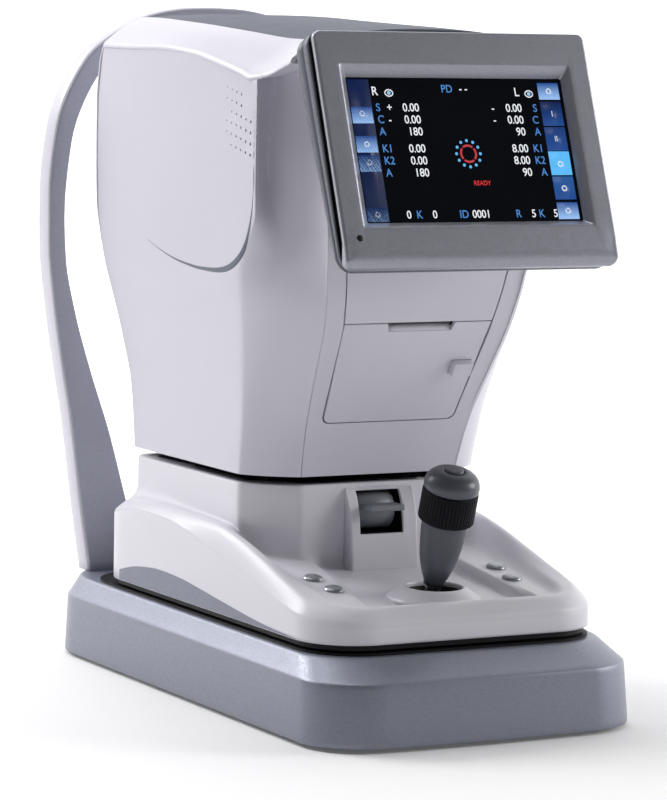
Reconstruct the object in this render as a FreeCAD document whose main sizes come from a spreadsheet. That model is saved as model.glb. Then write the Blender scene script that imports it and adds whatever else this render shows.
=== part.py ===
"""Desktop autorefractor: a measuring head on a sliding stage, steered by hand with a joystick.

Frame: millimetres, +Z up, the operator's side is -Y, the patient's side is +Y, +X is the operator's right.
The origin is the middle of the underside, on the table.
"""
import FreeCAD, Part
import math
import os
import re
import Sketcher

Vector = FreeCAD.Vector
Rotation = FreeCAD.Rotation
Placement = FreeCAD.Placement

X_AXIS = Vector(1, 0, 0)
Y_AXIS = Vector(0, 1, 0)
Z_AXIS = Vector(0, 0, 1)

# ---------------------------------------------------------------------------------------------------------
# Driving dimensions, in millimetres and degrees
# ---------------------------------------------------------------------------------------------------------

SIZES = {
    # fits
    "gap": (0.3, "air gap between moulded pieces that move past each other"),
    "running": (0.05, "radial clearance of a shaft in its bush"),
    "wall": (3.0, "wall of the big mouldings"),
    "thin_wall": (2.5, "wall of the small mouldings"),
    # base
    "base_half_width": (116.0, "half width of the base at the table"),
    "base_half_depth": (220.0, "half depth of the base"),
    "base_front_radius": (41.0, "plan radius of the front corners"),
    "base_rear_radius": (58.0, "plan radius of the rear corners"),
    "base_skirt": (2.5, "height of the base's lower edge"),
    "base_shoulder": (42.0, "height where the bevel begins"),
    "base_top": (54.5, "height of the base's top face"),
    "base_bevel": (10.0, "how far the bevel leans in at the sides"),
    "base_nose": (28.0, "how far the bevel leans in at the front"),
    "foot_radius": (12.0, "radius of a rubber foot"),
    "screw_radius": (1.5, "radius of the base screws"),
    "slide_top": (56.0, "height of the black slide plate's upper face"),
    "opening_half_width": (60.0, "half width of the opening for the stage's post"),
    "opening_half_depth": (39.0, "half depth of that opening"),
    # cross slide
    "slide_y": (20.0, "place of the cross shaft from front to back"),
    "shaft_z": (34.0, "height of the cross shaft"),
    "shaft_radius": (4.0, "radius of the cross shaft and the guide rods"),
    "shaft_half_length": (101.0, "half length of the cross shaft"),
    "pinion_x": (85.0, "distance of a pinion from the middle"),
    "pinion_radius": (8.0, "pitch radius of a pinion"),
    "pinion_width": (7.0, "width of a pinion"),
    "pinion_teeth": (24.0, "teeth on a pinion"),
    "rod_x": (97.0, "distance of a guide rod from the middle"),
    "rod_z": (18.0, "height of the guide rods"),
    "rod_half_length": (66.0, "half length of a guide rod"),
    # stage
    "stage_half_width": (104.0, "half width of the stage cover"),
    "stage_front": (185.7, "front edge of the stage cover"),
    "stage_rear": (152.0, "rear edge of the stage cover"),
    "stage_radius": (40.0, "plan radius of the stage cover"),
    "stage_skirt": (61.0, "height of the stage cover's lower edge"),
    "deck_slope": (8.7, "slope of the control deck towards the operator"),
    "deck_front": (78.0, "height of the control deck at its front rim"),
    "pedestal_top": (144.5, "height of the pedestal under the head"),
    "button_radius": (6.7, "radius of a control button"),
    "button_rear_x": (67.5, "distance of a rear button from the middle"),
    "button_rear_y": (-101.3, "place of the rear buttons"),
    "button_front_x": (65.2, "distance of a front button from the middle"),
    "button_front_y": (-125.4, "place of the front buttons"),
    # joystick
    "stick_y": (-130.6, "place of the joystick's pivot"),
    "stick_z": (66.0, "height of the joystick's pivot"),
    "stick_lean": (17.3, "lean of the joystick towards the operator"),
    "stick_hole": (17.5, "radius of the hole that the joystick stands in"),
    "stick_hole_y": (-138.6, "centre of that hole"),
    "collar_slope": (2.0, "slope of the rim round that hole"),
    "stick_ring_radius": (17.9, "radius of the knurled height ring"),
    "stick_ring_low": (68.5, "lower edge of the height ring, along the stick"),
    "stick_ring_high": (89.3, "upper edge of the height ring, along the stick"),
    "stick_cap_high": (102.0, "top of the dome, along the stick"),
    "stick_bore": (12.0, "radius of the seat that the height ring turns on"),
    "trigger_radius": (6.0, "radius of the measuring button"),
    # lift
    "lift_y": (40.0, "place of the lift from front to back"),
    "lift_rod_x": (40.0, "distance of a lift rod from the middle"),
    "lift_rod_radius": (6.0, "radius of a lift rod"),
    "lift_screw_radius": (5.0, "radius of the lift screw"),
    # head
    "head_bottom": (149.7, "height of the head's lower edge"),
    "head_half_width": (104.0, "half width of the head"),
    "head_rear": (163.0, "rear face of the head"),
    "head_top": (436.0, "upper edge of the side covers"),
    "top_half_width": (75.0, "half width of the top cover"),
    "optic_z": (340.0, "height of the optical axis"),
    "optic_radius": (34.0, "radius of the optical tube"),
    "lens_radius": (20.0, "radius of the objective lens"),
    # printer
    "door_y": (-74.1, "lower edge of the printer door, front to back"),
    "door_z": (185.8, "lower edge of the printer door, height"),
    "door_lean": (29.6, "lean of the printer door towards the operator"),
    "door_height": (76.4, "height of the printer door along its slope"),
    "door_top_half": (53.6, "half width of the door's upper edge"),
    "door_bottom_half": (48.0, "half width of the door's lower edge"),
    "paper_radius": (24.0, "radius of the paper roll"),
    "paper_half_width": (28.5, "half width of the paper roll"),
    "platen_radius": (5.0, "radius of the platen roller"),
    # screen
    "screen_y": (-165.7, "middle of the display, front to back"),
    "screen_z": (364.3, "middle of the display, height"),
    "screen_tilt": (20.2, "backward tilt of the display"),
    "screen_half_width": (97.1, "half width of the screen"),
    "screen_half_height": (75.8, "half height of the bezel"),
    "display_half_width": (76.2, "half width of the lit area"),
    "display_half_height": (45.7, "half height of the lit area"),
    "hinge_depth": (17.0, "tilt hinge behind the display's face"),
    "hinge_rise": (62.0, "tilt hinge above the middle of the display"),
    # head rest
    "arch_half_width": (124.0, "widest half width of the head-rest arch"),
    "arch_top": (450.0, "top of the arch"),
    "arch_front": (190.0, "front face of the arch"),
    "arch_rear": (211.0, "rear face of the arch"),
    "arch_inset": (12.0, "width of the arch's band at its top"),
    "chin_y": (201.0, "centre of the chin rest's column"),
    "chin_column_top": (185.0, "top of the chin rest's column"),
    "chin_cup_z": (200.0, "underside of the chin cup"),
}

document = FreeCAD.newDocument("Autorefractor")
sheet = document.addObject("Spreadsheet::Sheet", "Sizes")
for row, (alias, (value, meaning)) in enumerate(SIZES.items(), start=1):
    sheet.set(f"A{row}", meaning)
    sheet.set(f"B{row}", str(value))
    sheet.setAlias(f"B{row}", alias)
document.recompute()


# ---------------------------------------------------------------------------------------------------------
# Formulas and small building functions. Every size is a formula on the sheet's aliases.
# ---------------------------------------------------------------------------------------------------------

def formula(text):
    """The formula with each alias written the way an expression needs it."""
    return re.sub(r"[a-z][a-z0-9_]*", lambda word: sheet_name(word.group()), str(text))


def sheet_name(word):
    return f"Sizes.{word}" if word in SIZES else word


def amount(text):
    """The present value of a formula."""
    result = sheet.evalExpression(formula(text))
    return float(getattr(result, "Value", result))


def bind(item, name, text):
    item.setExpression(name, formula(text))


def place(item, x=0, y=0, z=0, turn_axis=None, turn=0):
    """Puts an object at x, y, z, turned about an axis through that point."""
    if turn_axis is not None:
        item.Placement = Placement(Vector(), Rotation(turn_axis, amount(turn)))
        bind(item, "Placement.Rotation.Angle", turn)
    bind(item, "Placement.Base.x", x)
    bind(item, "Placement.Base.y", y)
    bind(item, "Placement.Base.z", z)
    return item


def box(name, x, y, z):
    """A box between the low and high formulas of each axis."""
    item = document.addObject("Part::Box", name)
    bind(item, "Length", f"({x[1]}) - ({x[0]})")
    bind(item, "Width", f"({y[1]}) - ({y[0]})")
    bind(item, "Height", f"({z[1]}) - ({z[0]})")
    return place(item, x[0], y[0], z[0])


AXIS_TURN = {"x": Rotation(Y_AXIS, 90), "y": Rotation(X_AXIS, -90), "z": Rotation()}


def round_bar(name, radius, axis, low, high, centre):
    """A cylinder along an axis from low to high; centre gives its other two coordinates in order."""
    item = document.addObject("Part::Cylinder", name)
    bind(item, "Radius", radius)
    bind(item, "Height", f"({high}) - ({low})")
    item.Placement = Placement(Vector(), AXIS_TURN[axis])
    start = list(centre)
    start.insert("xyz".index(axis), low)
    return place(item, *start)


def tube(name, outer, inner, axis, low, high, centre):
    shell = round_bar(name + "_outside", outer, axis, low, high, centre)
    hole = round_bar(name + "_bore", inner, axis, f"({low}) - 1", f"({high}) + 1", centre)
    return cut(name, shell, hole)


def cone(name, low_radius, high_radius, low, high):
    """A cone about the local Z axis."""
    item = document.addObject("Part::Cone", name)
    bind(item, "Radius1", low_radius)
    bind(item, "Radius2", high_radius)
    bind(item, "Height", f"({high}) - ({low})")
    return place(item, 0, 0, low)


def join(name, *parts):
    item = document.addObject("Part::MultiFuse", name)
    item.Shapes = list(parts)
    return item


def cut(name, base, *tools):
    item = document.addObject("Part::Cut", name)
    item.Base = base
    item.Tool = tools[0] if len(tools) == 1 else join(name + "_tools", *tools)
    return item


def overlap(name, first, second):
    item = document.addObject("Part::Common", name)
    item.Base = first
    item.Tool = second
    return item


def group(name, *parts):
    """Separate equal solids that share one node."""
    item = document.addObject("Part::Compound", name)
    item.Links = list(parts)
    return item


def fix_point(sketch, geometry, end, point):
    """Holds one end of a sketch line at a point given by two formulas."""
    for kind, text in zip(("DistanceX", "DistanceY"), point):
        number = sketch.addConstraint(Sketcher.Constraint(kind, -1, 1, geometry, end, amount(text)))
        sketch.setExpression(f"Constraints[{number}]", formula(text))


def draw_polygon(sketch, points):
    """A closed outline of straight lines through points given as pairs of formulas."""
    count = len(points)
    corners = [Vector(amount(x), amount(y), 0) for x, y in points]
    first = sketch.GeometryCount
    for index in range(count):
        line = Part.LineSegment(corners[index], corners[(index + 1) % count])
        sketch.addGeometry(line, False)
    for index in range(count):
        following = first + (index + 1) % count
        sketch.addConstraint(Sketcher.Constraint("Coincident", first + index, 2, following, 1))
    for index, point in enumerate(points):
        fix_point(sketch, first + index, 1, point)


def draw_circle(sketch, radius, x=0, y=0):
    number = sketch.addGeometry(Part.Circle(Vector(amount(x), amount(y), 0), Z_AXIS, amount(radius)), False)
    size = sketch.addConstraint(Sketcher.Constraint("Radius", number, amount(radius)))
    sketch.setExpression(f"Constraints[{size}]", formula(radius))
    fix_point(sketch, number, 3, (x, y))


def draw_rounded(sketch, half_width, low, high, low_radius, high_radius):
    """A symmetric rectangle from y = low to y = high with a corner radius at each end."""
    half, near, far = amount(half_width), amount(low), amount(high)
    corners = [(half, near, low_radius, -90), (half, far, high_radius, 0),
               (-half, far, high_radius, 90), (-half, near, low_radius, 180)]
    arcs = []
    for x, y, radius_text, start in corners:
        radius = amount(radius_text)
        centre = Vector(x - math.copysign(radius, x), y + (radius if y == near else -radius), 0)
        circle = Part.Circle(centre, Z_AXIS, radius)
        arc = Part.ArcOfCircle(circle, math.radians(start), math.radians(start + 90))
        arcs.append(sketch.addGeometry(arc, False))
    lines = []
    for index in range(4):
        start = sketch.Geometry[arcs[index]].EndPoint
        end = sketch.Geometry[arcs[(index + 1) % 4]].StartPoint
        lines.append(sketch.addGeometry(Part.LineSegment(start, end), False))
    for index in range(4):
        sketch.addConstraint(Sketcher.Constraint("Tangent", arcs[index], 2, lines[index], 1))
        sketch.addConstraint(Sketcher.Constraint("Tangent", lines[index], 2, arcs[(index + 1) % 4], 1))
    for line, kind in zip(lines, ("Vertical", "Horizontal", "Vertical", "Horizontal")):
        sketch.addConstraint(Sketcher.Constraint(kind, line))
    for index, (x, y, radius_text, start) in enumerate(corners):
        size = sketch.addConstraint(Sketcher.Constraint("Radius", arcs[index], amount(radius_text)))
        sketch.setExpression(f"Constraints[{size}]", formula(radius_text))
    for line, kind, text in ((lines[0], "DistanceX", half_width), (lines[2], "DistanceX", f"-({half_width})"),
                             (lines[1], "DistanceY", high), (lines[3], "DistanceY", low)):
        number = sketch.addConstraint(Sketcher.Constraint(kind, -1, 1, line, 1, amount(text)))
        sketch.setExpression(f"Constraints[{number}]", formula(text))


def loose_sketch(name):
    return document.addObject("Sketcher::SketchObject", name)


def rounded_section(name, half_width, low, high, low_radius, high_radius, height):
    sketch = loose_sketch(name)
    draw_rounded(sketch, half_width, low, high, low_radius, high_radius)
    return place(sketch, 0, 0, height)


def loft(name, *sections):
    item = document.addObject("Part::Loft", name)
    item.Sections = list(sections)
    item.Solid = True
    item.Ruled = True
    return item


def extrude(name, sketch, direction, length, start=0):
    """A sketch pushed along a direction, beginning at start on that axis."""
    item = document.addObject("Part::Extrusion", name)
    item.Base = sketch
    item.DirMode = "Custom"
    item.Dir = direction
    item.Solid = True
    bind(item, "LengthFwd", length)
    axis = "xyz"[[abs(direction.x), abs(direction.y), abs(direction.z)].index(1)]
    bind(item, f"Placement.Base.{axis}", start)
    return item


SIDE_VIEW = Rotation(Vector(1, 1, 1), 120)


def side_profile(name, points, low, high):
    """A solid whose side view, in front-to-back and height, is the polygon; it runs from x = low to high."""
    sketch = loose_sketch(name + "_outline")
    draw_polygon(sketch, points)
    sketch.Placement = Placement(Vector(), SIDE_VIEW)
    return extrude(name, sketch, X_AXIS, f"({high}) - ({low})", low)


def new_body(name):
    return document.addObject("PartDesign::Body", name)


def body_sketch(body, name, role="XY_Plane"):
    sketch = body.newObject("Sketcher::SketchObject", name)
    plane = [feature for feature in body.Origin.OriginFeatures if feature.Role == role][0]
    sketch.AttachmentSupport = [(plane, "")]
    sketch.MapMode = "FlatFace"
    return sketch


def pad(body, name, sketch, length, symmetric=False):
    item = body.newObject("PartDesign::Pad", name)
    item.Profile = sketch
    item.SideType = "Symmetric" if symmetric else "One side"
    bind(item, "Length", length)
    document.recompute()
    return item


def revolve(body, name, sketch):
    """Turns a sketch on the XZ plane about the body's Z axis."""
    item = body.newObject("PartDesign::Revolution", name)
    item.Profile = sketch
    item.ReferenceAxis = (sketch, ["V_Axis"])
    item.Angle = 360
    document.recompute()
    return item


def pocket_through(body, name, sketch, length):
    """A pocket both ways from its sketch; it must take material away."""
    before = body.Shape.Volume
    item = body.newObject("PartDesign::Pocket", name)
    item.Profile = sketch
    item.SideType = "Symmetric"
    bind(item, "Length", length)
    document.recompute()
    assert body.Shape.Volume < before - 0.001, f"{name} removes nothing"
    return item


def round_edges(body, name, radius, wanted):
    """Fillets the edges of the body's tip that the test picks out."""
    tip = body.Tip
    names = [f"Edge{number}" for number, edge in enumerate(tip.Shape.Edges, start=1) if wanted(edge)]
    item = body.newObject("PartDesign::Fillet", name)
    item.Base = (tip, names)
    bind(item, "Radius", radius)
    document.recompute()
    return item


def around(body, name, feature, sketch, count):
    """Repeats a feature about the sketch's normal."""
    item = body.newObject("PartDesign::PolarPattern", name)
    item.Originals = [feature]
    item.Axis = (sketch, ["N_Axis"])
    item.Angle = 360
    bind(item, "Occurrences", count)
    body.Tip = item
    document.recompute()
    return item


def turned(name, outline):
    """A turned body whose half section is a polygon of radius and height formulas."""
    body = new_body(name)
    sketch = body_sketch(body, name + "_section", "XZ_Plane")
    draw_polygon(sketch, outline)
    revolve(body, name + "_turn", sketch)
    return body


def made(name, shape):
    """A free-form piece whose shape is worked out from the sheet by this file's own functions."""
    item = document.addObject("Part::Feature", name)
    item.Shape = shape
    return item


PIECES = {}


def keep(node, item):
    """Registers a finished sub-part under the name of its node."""
    item.Label = node
    PIECES[node] = item
    return item


# ---------------------------------------------------------------------------------------------------------
# Base
# ---------------------------------------------------------------------------------------------------------

def base_form(name, inset, low, high):
    """The base's outer form moved in by inset, between two heights."""
    side = "base_half_width"
    depth = "base_half_depth"
    levels = [(low, "0", "0", "0"), ("base_shoulder", "1.5", "4", "1"),
              (high, "base_bevel", "base_nose", "4")]
    sections = []
    for number, (height, side_lean, front_lean, rear_lean) in enumerate(levels):
        sections.append(rounded_section(
            f"{name}_section{number}", f"{side} - {side_lean} - {inset}",
            f"-{depth} + {front_lean} + {inset}", f"{depth} - {rear_lean} - {inset}",
            f"base_front_radius - {inset}", f"base_rear_radius - {inset}", height))
    return loft(name, *sections)


SCREW_PLACES = [(x * side, y) for side in (-1, 1) for x, y in ((96, -140), (96, 118), (50, -172), (44, 190))]


def base_shell():
    outside = base_form("base_outside", "0", "base_skirt", "base_top")
    inside = base_form("base_inside", "wall", "base_skirt - 1", "base_top - wall")
    post_opening = box("post_opening", ("-opening_half_width", "opening_half_width"),
                       ("slide_y - opening_half_depth", "slide_y + opening_half_depth"),
                       ("base_top - wall - 1", "base_top + 1"))
    chin_opening = round_bar("chin_opening", "7", "z", "base_top - wall - 1", "base_top + 1", ("0", "chin_y"))
    inlet_opening = box("inlet_opening", ("-42", "-14"), ("base_half_depth - 6", "base_half_depth + 1"),
                        ("11", "33"))
    switch_opening = box("switch_opening", ("12", "34"), ("base_half_depth - 6", "base_half_depth + 1"),
                         ("13", "31"))
    empty = cut("base_hollow", outside, inside, post_opening, chin_opening, inlet_opening, switch_opening)
    bosses = [tube(f"base_boss{number}", "4.5", "screw_radius + 0.1", "z", "base_skirt + 2",
                   "base_shoulder", (x, y)) for number, (x, y) in enumerate(SCREW_PLACES)]
    roofs = [round_bar(f"base_boss_roof{number}", "4.5", "z", "base_shoulder", "base_top - 1", (x, y))
             for number, (x, y) in enumerate(SCREW_PLACES)]
    return keep("base_shell", join("base_shell_all", empty, *bosses, *roofs))


def bottom_plate():
    body = new_body("BottomPlate")
    outline = body_sketch(body, "bottom_plate_outline")
    inset = "(wall + 2 * gap)"
    draw_rounded(outline, f"base_half_width - {inset}", f"-base_half_depth + {inset}",
                 f"base_half_depth - {inset}", f"base_front_radius - {inset}", f"base_rear_radius - {inset}")
    pad(body, "bottom_plate_pad", outline, "2")
    holes = body_sketch(body, "bottom_plate_holes")
    for x, y in SCREW_PLACES:
        draw_circle(holes, "screw_radius + 0.2", x, y)
    pocket_through(body, "bottom_plate_pocket", holes, "10")
    place(body, 0, 0, "base_skirt")
    brackets = []
    for side in (-1, 1):
        for end in (-1, 1):
            middle = f"slide_y + {end} * rod_half_length"
            brackets.append(box(f"rod_bracket{side + 1}{end + 1}",
                                (f"{side} * rod_x - 7", f"{side} * rod_x + 7"),
                                (f"{middle} - 4", f"{middle} + 4"), ("base_skirt + 1.5", "rod_z + 7")))
    rods = [round_bar(f"rod_hole{side + 1}", "shaft_radius", "y", "slide_y - rod_half_length",
                      "slide_y + rod_half_length", (f"{side} * rod_x", "rod_z")) for side in (-1, 1)]
    return keep("bottom_plate", cut("bottom_plate_all", join("bottom_plate_solid", body, *brackets), *rods))


def guide_rods():
    rods = [round_bar(f"guide_rod{side + 1}", "shaft_radius", "y", "slide_y - rod_half_length",
                      "slide_y + rod_half_length", (f"{side} * rod_x", "rod_z")) for side in (-1, 1)]
    return keep("guide_rods", group("guide_rods_all", *rods))


def gear_racks():
    """Two toothed racks on posts; the pinions roll along their upper edges."""
    racks = []
    pitch = "(2 * pi * pinion_radius / pinion_teeth)"
    teeth = 17
    top = "shaft_z - pinion_radius"
    for side in (-1, 1):
        x = (f"{side} * pinion_x - 4", f"{side} * pinion_x + 4")
        bar = box(f"rack_bar{side + 1}", x, ("slide_y - 36", "slide_y + 36"),
                  ("base_skirt + 2", f"{top} - 1"))
        crests = []
        for number in range(teeth):
            centre = f"slide_y + ({number} - {(teeth - 1) / 2}) * {pitch}"
            crests.append(box(f"rack_tooth{side + 1}_{number}", x,
                              (f"{centre} - {pitch} / 4", f"{centre} + {pitch} / 4"),
                              (f"{top} - 1.2", top)))
        racks.append(join(f"rack{side + 1}", bar, *crests))
    return keep("gear_racks", group("gear_racks_all", *racks))


def slide_plate():
    outline = rounded_section("slide_plate_outline", "stage_half_width - 1", "-stage_front - 1",
                              "stage_rear + 24", "stage_radius", "stage_radius", "base_top")
    sheet_metal = extrude("slide_plate_sheet", outline, Z_AXIS, "slide_top - base_top")
    opening = box("slide_plate_opening", ("-opening_half_width", "opening_half_width"),
                  ("slide_y - opening_half_depth", "slide_y + opening_half_depth"),
                  ("base_top - 1", "slide_top + 1"))
    return keep("slide_plate", cut("slide_plate_all", sheet_metal, opening))


def rubber_feet():
    feet = []
    for number, (x, y) in enumerate(((-84, -176), (84, -176), (-72, 178), (72, 178))):
        foot = cone(f"foot{number}", "foot_radius - 1.5", "foot_radius", "0", "base_skirt")
        feet.append(place(foot, x, y, 0))
    return keep("rubber_feet", group("rubber_feet_all", *feet))


def base_screws():
    screws = []
    for number, (x, y) in enumerate(SCREW_PLACES):
        head = round_bar(f"screw_head{number}", "3", "z", "base_skirt - 1.6", "base_skirt", (x, y))
        shank = round_bar(f"screw_shank{number}", "screw_radius", "z", "base_skirt - 1", "16", (x, y))
        screws.append(join(f"screw{number}", head, shank))
    return keep("base_screws", group("base_screws_all", *screws))


def power_pieces():
    supply = box("supply_case", ("-70", "70"), ("112", "168"), ("base_skirt + 2", "40"))
    keep("power_supply", supply)
    shell = box("inlet_body", ("-41.5", "-14.5"), ("base_half_depth - 26", "base_half_depth - 1"),
                ("11.5", "32.5"))
    mouth = box("inlet_mouth", ("-39.5", "-16.5"), ("base_half_depth - 16", "base_half_depth"), ("14", "30"))
    blades = [box(f"inlet_blade{number}", (f"{x} - 1", f"{x} + 1"),
                  ("base_half_depth - 17", "base_half_depth - 10"), (z, f"{z} + 4"))
              for number, (x, z) in enumerate((("-34", "18"), ("-28", "23"), ("-22", "18")))]
    keep("power_inlet", join("power_inlet_all", cut("power_inlet_case", shell, mouth), *blades))
    rocker = side_profile("rocker", (("-9", "-8"), ("4.5", "-8.2"), ("2.6", "0"), ("2.2", "8.2"),
                                     ("-9", "8")), "12.5", "33.5")
    place(rocker, "12.5", "base_half_depth - 6", "22")
    keep("power_switch", rocker)


# ---------------------------------------------------------------------------------------------------------
# Head rest: arch, forehead pad, chin rest
# ---------------------------------------------------------------------------------------------------------

def arch_curve(width, top, foot_half_width):
    """Half of a horseshoe: from the foot on the base up and round to the apex, as points of a spline."""
    low = amount("base_top")
    rise = top - low
    points = [Vector(foot_half_width, 0, low)]
    for height_share, width_share in ((0.26, 0.44), (0.48, 0.86), (0.645, 1.0), (0.79, 0.955), (0.91, 0.78)):
        if height_share < 0.6:
            half = foot_half_width + (width - foot_half_width) * width_share
        else:
            half = width * width_share
        points.append(Vector(half, 0, low + rise * height_share))
    points.append(Vector(width * 0.37, 0, low + rise * 0.988))
    points.append(Vector(0, 0, top))
    return points


def arch_solid(front, rear):
    """The horseshoe between two planes across the object."""
    band = amount("arch_inset")
    outer = arch_curve(amount("arch_half_width"), amount("arch_top"), 90.5)
    inner = arch_curve(amount("arch_half_width") - band, amount("arch_top") - 14, 48.0)
    edges = []
    for points in (outer, inner):
        mirrored = [Vector(-point.x, 0, point.z) for point in reversed(points[:-1])]
        spline = Part.BSplineCurve()
        spline.interpolate(points + mirrored)
        edges.append(spline.toShape())
    for side in (0, -1):
        start = edges[0].Vertexes[side].Point
        end = edges[1].Vertexes[side].Point
        edges.append(Part.makeLine(start, end))
    wire = Part.Wire(Part.__sortEdges__(edges))
    face = Part.Face(wire)
    face.translate(Vector(0, front, 0))
    return face.extrude(Vector(0, rear - front, 0))


def head_rest():
    skin = 2.0
    front = amount("arch_front")
    keep("arch_front_cover", made("arch_front_form", arch_solid(front, front + skin)))
    frame = made("arch_frame_form", arch_solid(front + skin, amount("arch_rear")))
    holder = box("forehead_holder", ("-40", "40"), ("arch_front + 5", "arch_rear - 4"),
                 ("arch_top - 42", "arch_top - 17.5"))
    stem = box("forehead_stem", ("-14", "14"), ("arch_front + 5", "arch_rear - 4"),
               ("arch_top - 18", "arch_top - 10"))
    keep("arch_frame", join("arch_frame_all", frame, holder, stem))
    body = new_body("ForeheadPad")
    outline = body_sketch(body, "forehead_pad_outline")
    draw_rounded(outline, "44", "arch_rear - 4", "base_half_depth - 1", "4", "5")
    pad(body, "forehead_pad_pad", outline, "26")
    round_edges(body, "forehead_pad_round", "3",
                lambda edge: abs(edge.CenterOfMass.z - 26) < 0.1 and edge.CenterOfMass.y > 208)
    place(body, 0, 0, "arch_top - 48")
    keep("forehead_pad", body)


def chin_rest():
    shell = box("chin_column_shell", ("-26", "26"), ("chin_y - 15", "chin_y + 13"),
                ("base_top", "chin_column_top"))
    hollow = box("chin_column_hollow", ("-23", "23"), ("chin_y - 12", "chin_y + 10"),
                 ("base_top - 1", "chin_column_top - wall"))
    mouth = box("chin_column_mouth", ("-10 - gap", "10 + gap"), ("chin_y - 8 - gap", "chin_y + 8 + gap"),
                ("chin_column_top - wall - 1", "chin_column_top + 1"))
    keep("chin_column", cut("chin_column_all", shell, hollow, mouth))

    stem = box("chin_stem", ("-10", "10"), ("chin_y - 8", "chin_y + 8"), ("90", "chin_cup_z + 1"))
    stem_bore = round_bar("chin_stem_bore", "4 + running", "z", "89", "chin_cup_z - 12", ("0", "chin_y"))
    block = box("chin_block", ("-38", "38"), ("chin_y - 14", "chin_y + 18"),
                ("chin_cup_z", "chin_cup_z + 24"))
    dish = round_bar("chin_dish", "44", "y", "chin_y - 20", "chin_y + 24", ("0", "chin_cup_z + 55"))
    cup = cut("chin_cup", block, dish)
    pegs = [round_bar(f"chin_peg{side + 1}", "2.5", "z", "chin_cup_z + 10", "chin_cup_z + 32",
                      (f"{side} * 33", "chin_y + 2")) for side in (-1, 1)]
    keep("chin_rest", cut("chin_rest_all", join("chin_rest_solid", stem, cup, *pegs), stem_bore))

    screw = round_bar("chin_screw_rod", "4", "z", "28", "150", ("0", "chin_y"))
    keep("chin_screw", screw)


# ---------------------------------------------------------------------------------------------------------
# Cross slide: carriage on the guide rods, cross shaft with pinions
# ---------------------------------------------------------------------------------------------------------

def carriage_frame():
    beam = box("carriage_beam", ("-92", "92"), ("slide_y - 26", "slide_y - 20"), ("28", "40"))
    ends = [box(f"carriage_end{side + 1}", (f"{side} * 97 - 6", f"{side} * 97 + 6"),
                ("slide_y - 26", "slide_y + 12"), ("10", "42")) for side in (-1, 1)]
    rod_bores = [round_bar(f"carriage_rod_bore{side + 1}", "shaft_radius + running", "y", "slide_y - 30",
                           "slide_y + 20", (f"{side} * rod_x", "rod_z")) for side in (-1, 1)]
    shaft_bore = round_bar("carriage_shaft_bore", "shaft_radius + running", "x", "-110", "110",
                           ("slide_y", "shaft_z"))
    return keep("carriage_frame", cut("carriage_all", join("carriage_solid", beam, *ends), *rod_bores,
                                      shaft_bore))


def pinion(name):
    """A small spur gear about its local Z axis."""
    body = new_body(name)
    blank = body_sketch(body, name + "_blank")
    draw_circle(blank, "pinion_radius - 1.1")
    draw_circle(blank, "shaft_radius")
    pad(body, name + "_disc", blank, "pinion_width")
    tooth = body_sketch(body, name + "_tooth")
    draw_polygon(tooth, (("pinion_radius - 1.6", "-0.55"), ("pinion_radius - 0.1", "-0.3"),
                         ("pinion_radius - 0.1", "0.3"), ("pinion_radius - 1.6", "0.55")))
    feature = pad(body, name + "_tooth_pad", tooth, "pinion_width")
    around(body, name + "_teeth", feature, tooth, "pinion_teeth")
    return body


def cross_shaft():
    shaft = round_bar("cross_shaft_bar", "shaft_radius", "x", "-shaft_half_length", "shaft_half_length",
                      ("slide_y", "shaft_z"))
    keep("cross_shaft", shaft)
    gears = []
    for side in (-1, 1):
        gear = pinion(f"Pinion{side + 1}")
        gear.Placement = Placement(Vector(), AXIS_TURN["x"])
        place(gear, f"{side} * pinion_x - pinion_width / 2", "slide_y", "shaft_z")
        gears.append(gear)
    keep("pinions", group("pinions_all", *gears))


# ---------------------------------------------------------------------------------------------------------
# Stage: cover, chassis, controls
# ---------------------------------------------------------------------------------------------------------

DECK_AT = "(deck_front + ({y} + stage_front - 5.7) * tan(deck_slope))"


def deck_height(y):
    """Height of the sloping control deck at a place from front to back."""
    return DECK_AT.format(y=y)


def stage_form(name, inset, drop):
    """The stage cover's lower body: a rounded plan under a sloping side view."""
    plan = rounded_section(name + "_plan", f"stage_half_width - {inset}", f"-stage_front + {inset}",
                           f"stage_rear - {inset}", f"stage_radius - {inset}", f"stage_radius - {inset}",
                           "stage_skirt - 1")
    column = extrude(name + "_column", plan, Z_AXIS, "100")
    low = "stage_skirt" if drop == "0" else "stage_skirt - 1"
    side = side_profile(name + "_side", (
        ("-stage_front - 5", low), ("-stage_front - 5", f"deck_front - 5 - {drop}"),
        ("-stage_front + 5.7", f"deck_front - {drop}"), ("-62", f"{deck_height('-62')} - {drop}"),
        ("-20", f"109 - {drop}"), ("40", f"113 - {drop}"), ("96", f"112 - {drop}"),
        ("stage_rear + 5", f"103 - {drop}"), ("stage_rear + 5", low)), "-120", "120")
    return overlap(name, column, side)


def pedestal_form(name, inset, low, high):
    """The pedestal has the plan of the head's lower edge: a rectangle with two cut front corners."""
    points = (("56.3", "-61.5"), ("87.1", "-33"), ("87.1", "121"), ("79", "131"))
    right = [(f"{x} - {inset}", f"{y} + ({inset}) * {sign}")
             for (x, y), sign in zip(points, (1, 0.4, -0.4, -1))]
    left = [(f"-({x})", y) for x, y in reversed(right)]
    sketch = loose_sketch(name + "_plan")
    draw_polygon(sketch, right + left)
    place(sketch, 0, 0, low)
    return extrude(name, sketch, Z_AXIS, f"({high}) - ({low})")


def tilted_bar(name, radius, x, y, low, high):
    """A cylinder square to the control deck, measured from the deck's surface."""
    item = document.addObject("Part::Cylinder", name)
    bind(item, "Radius", radius)
    bind(item, "Height", f"({high}) - ({low})")
    place(item, x, f"{y} - ({low}) * sin(deck_slope)", f"{deck_height(y)} + ({low}) * cos(deck_slope)",
          X_AXIS, "deck_slope")
    return item


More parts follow.
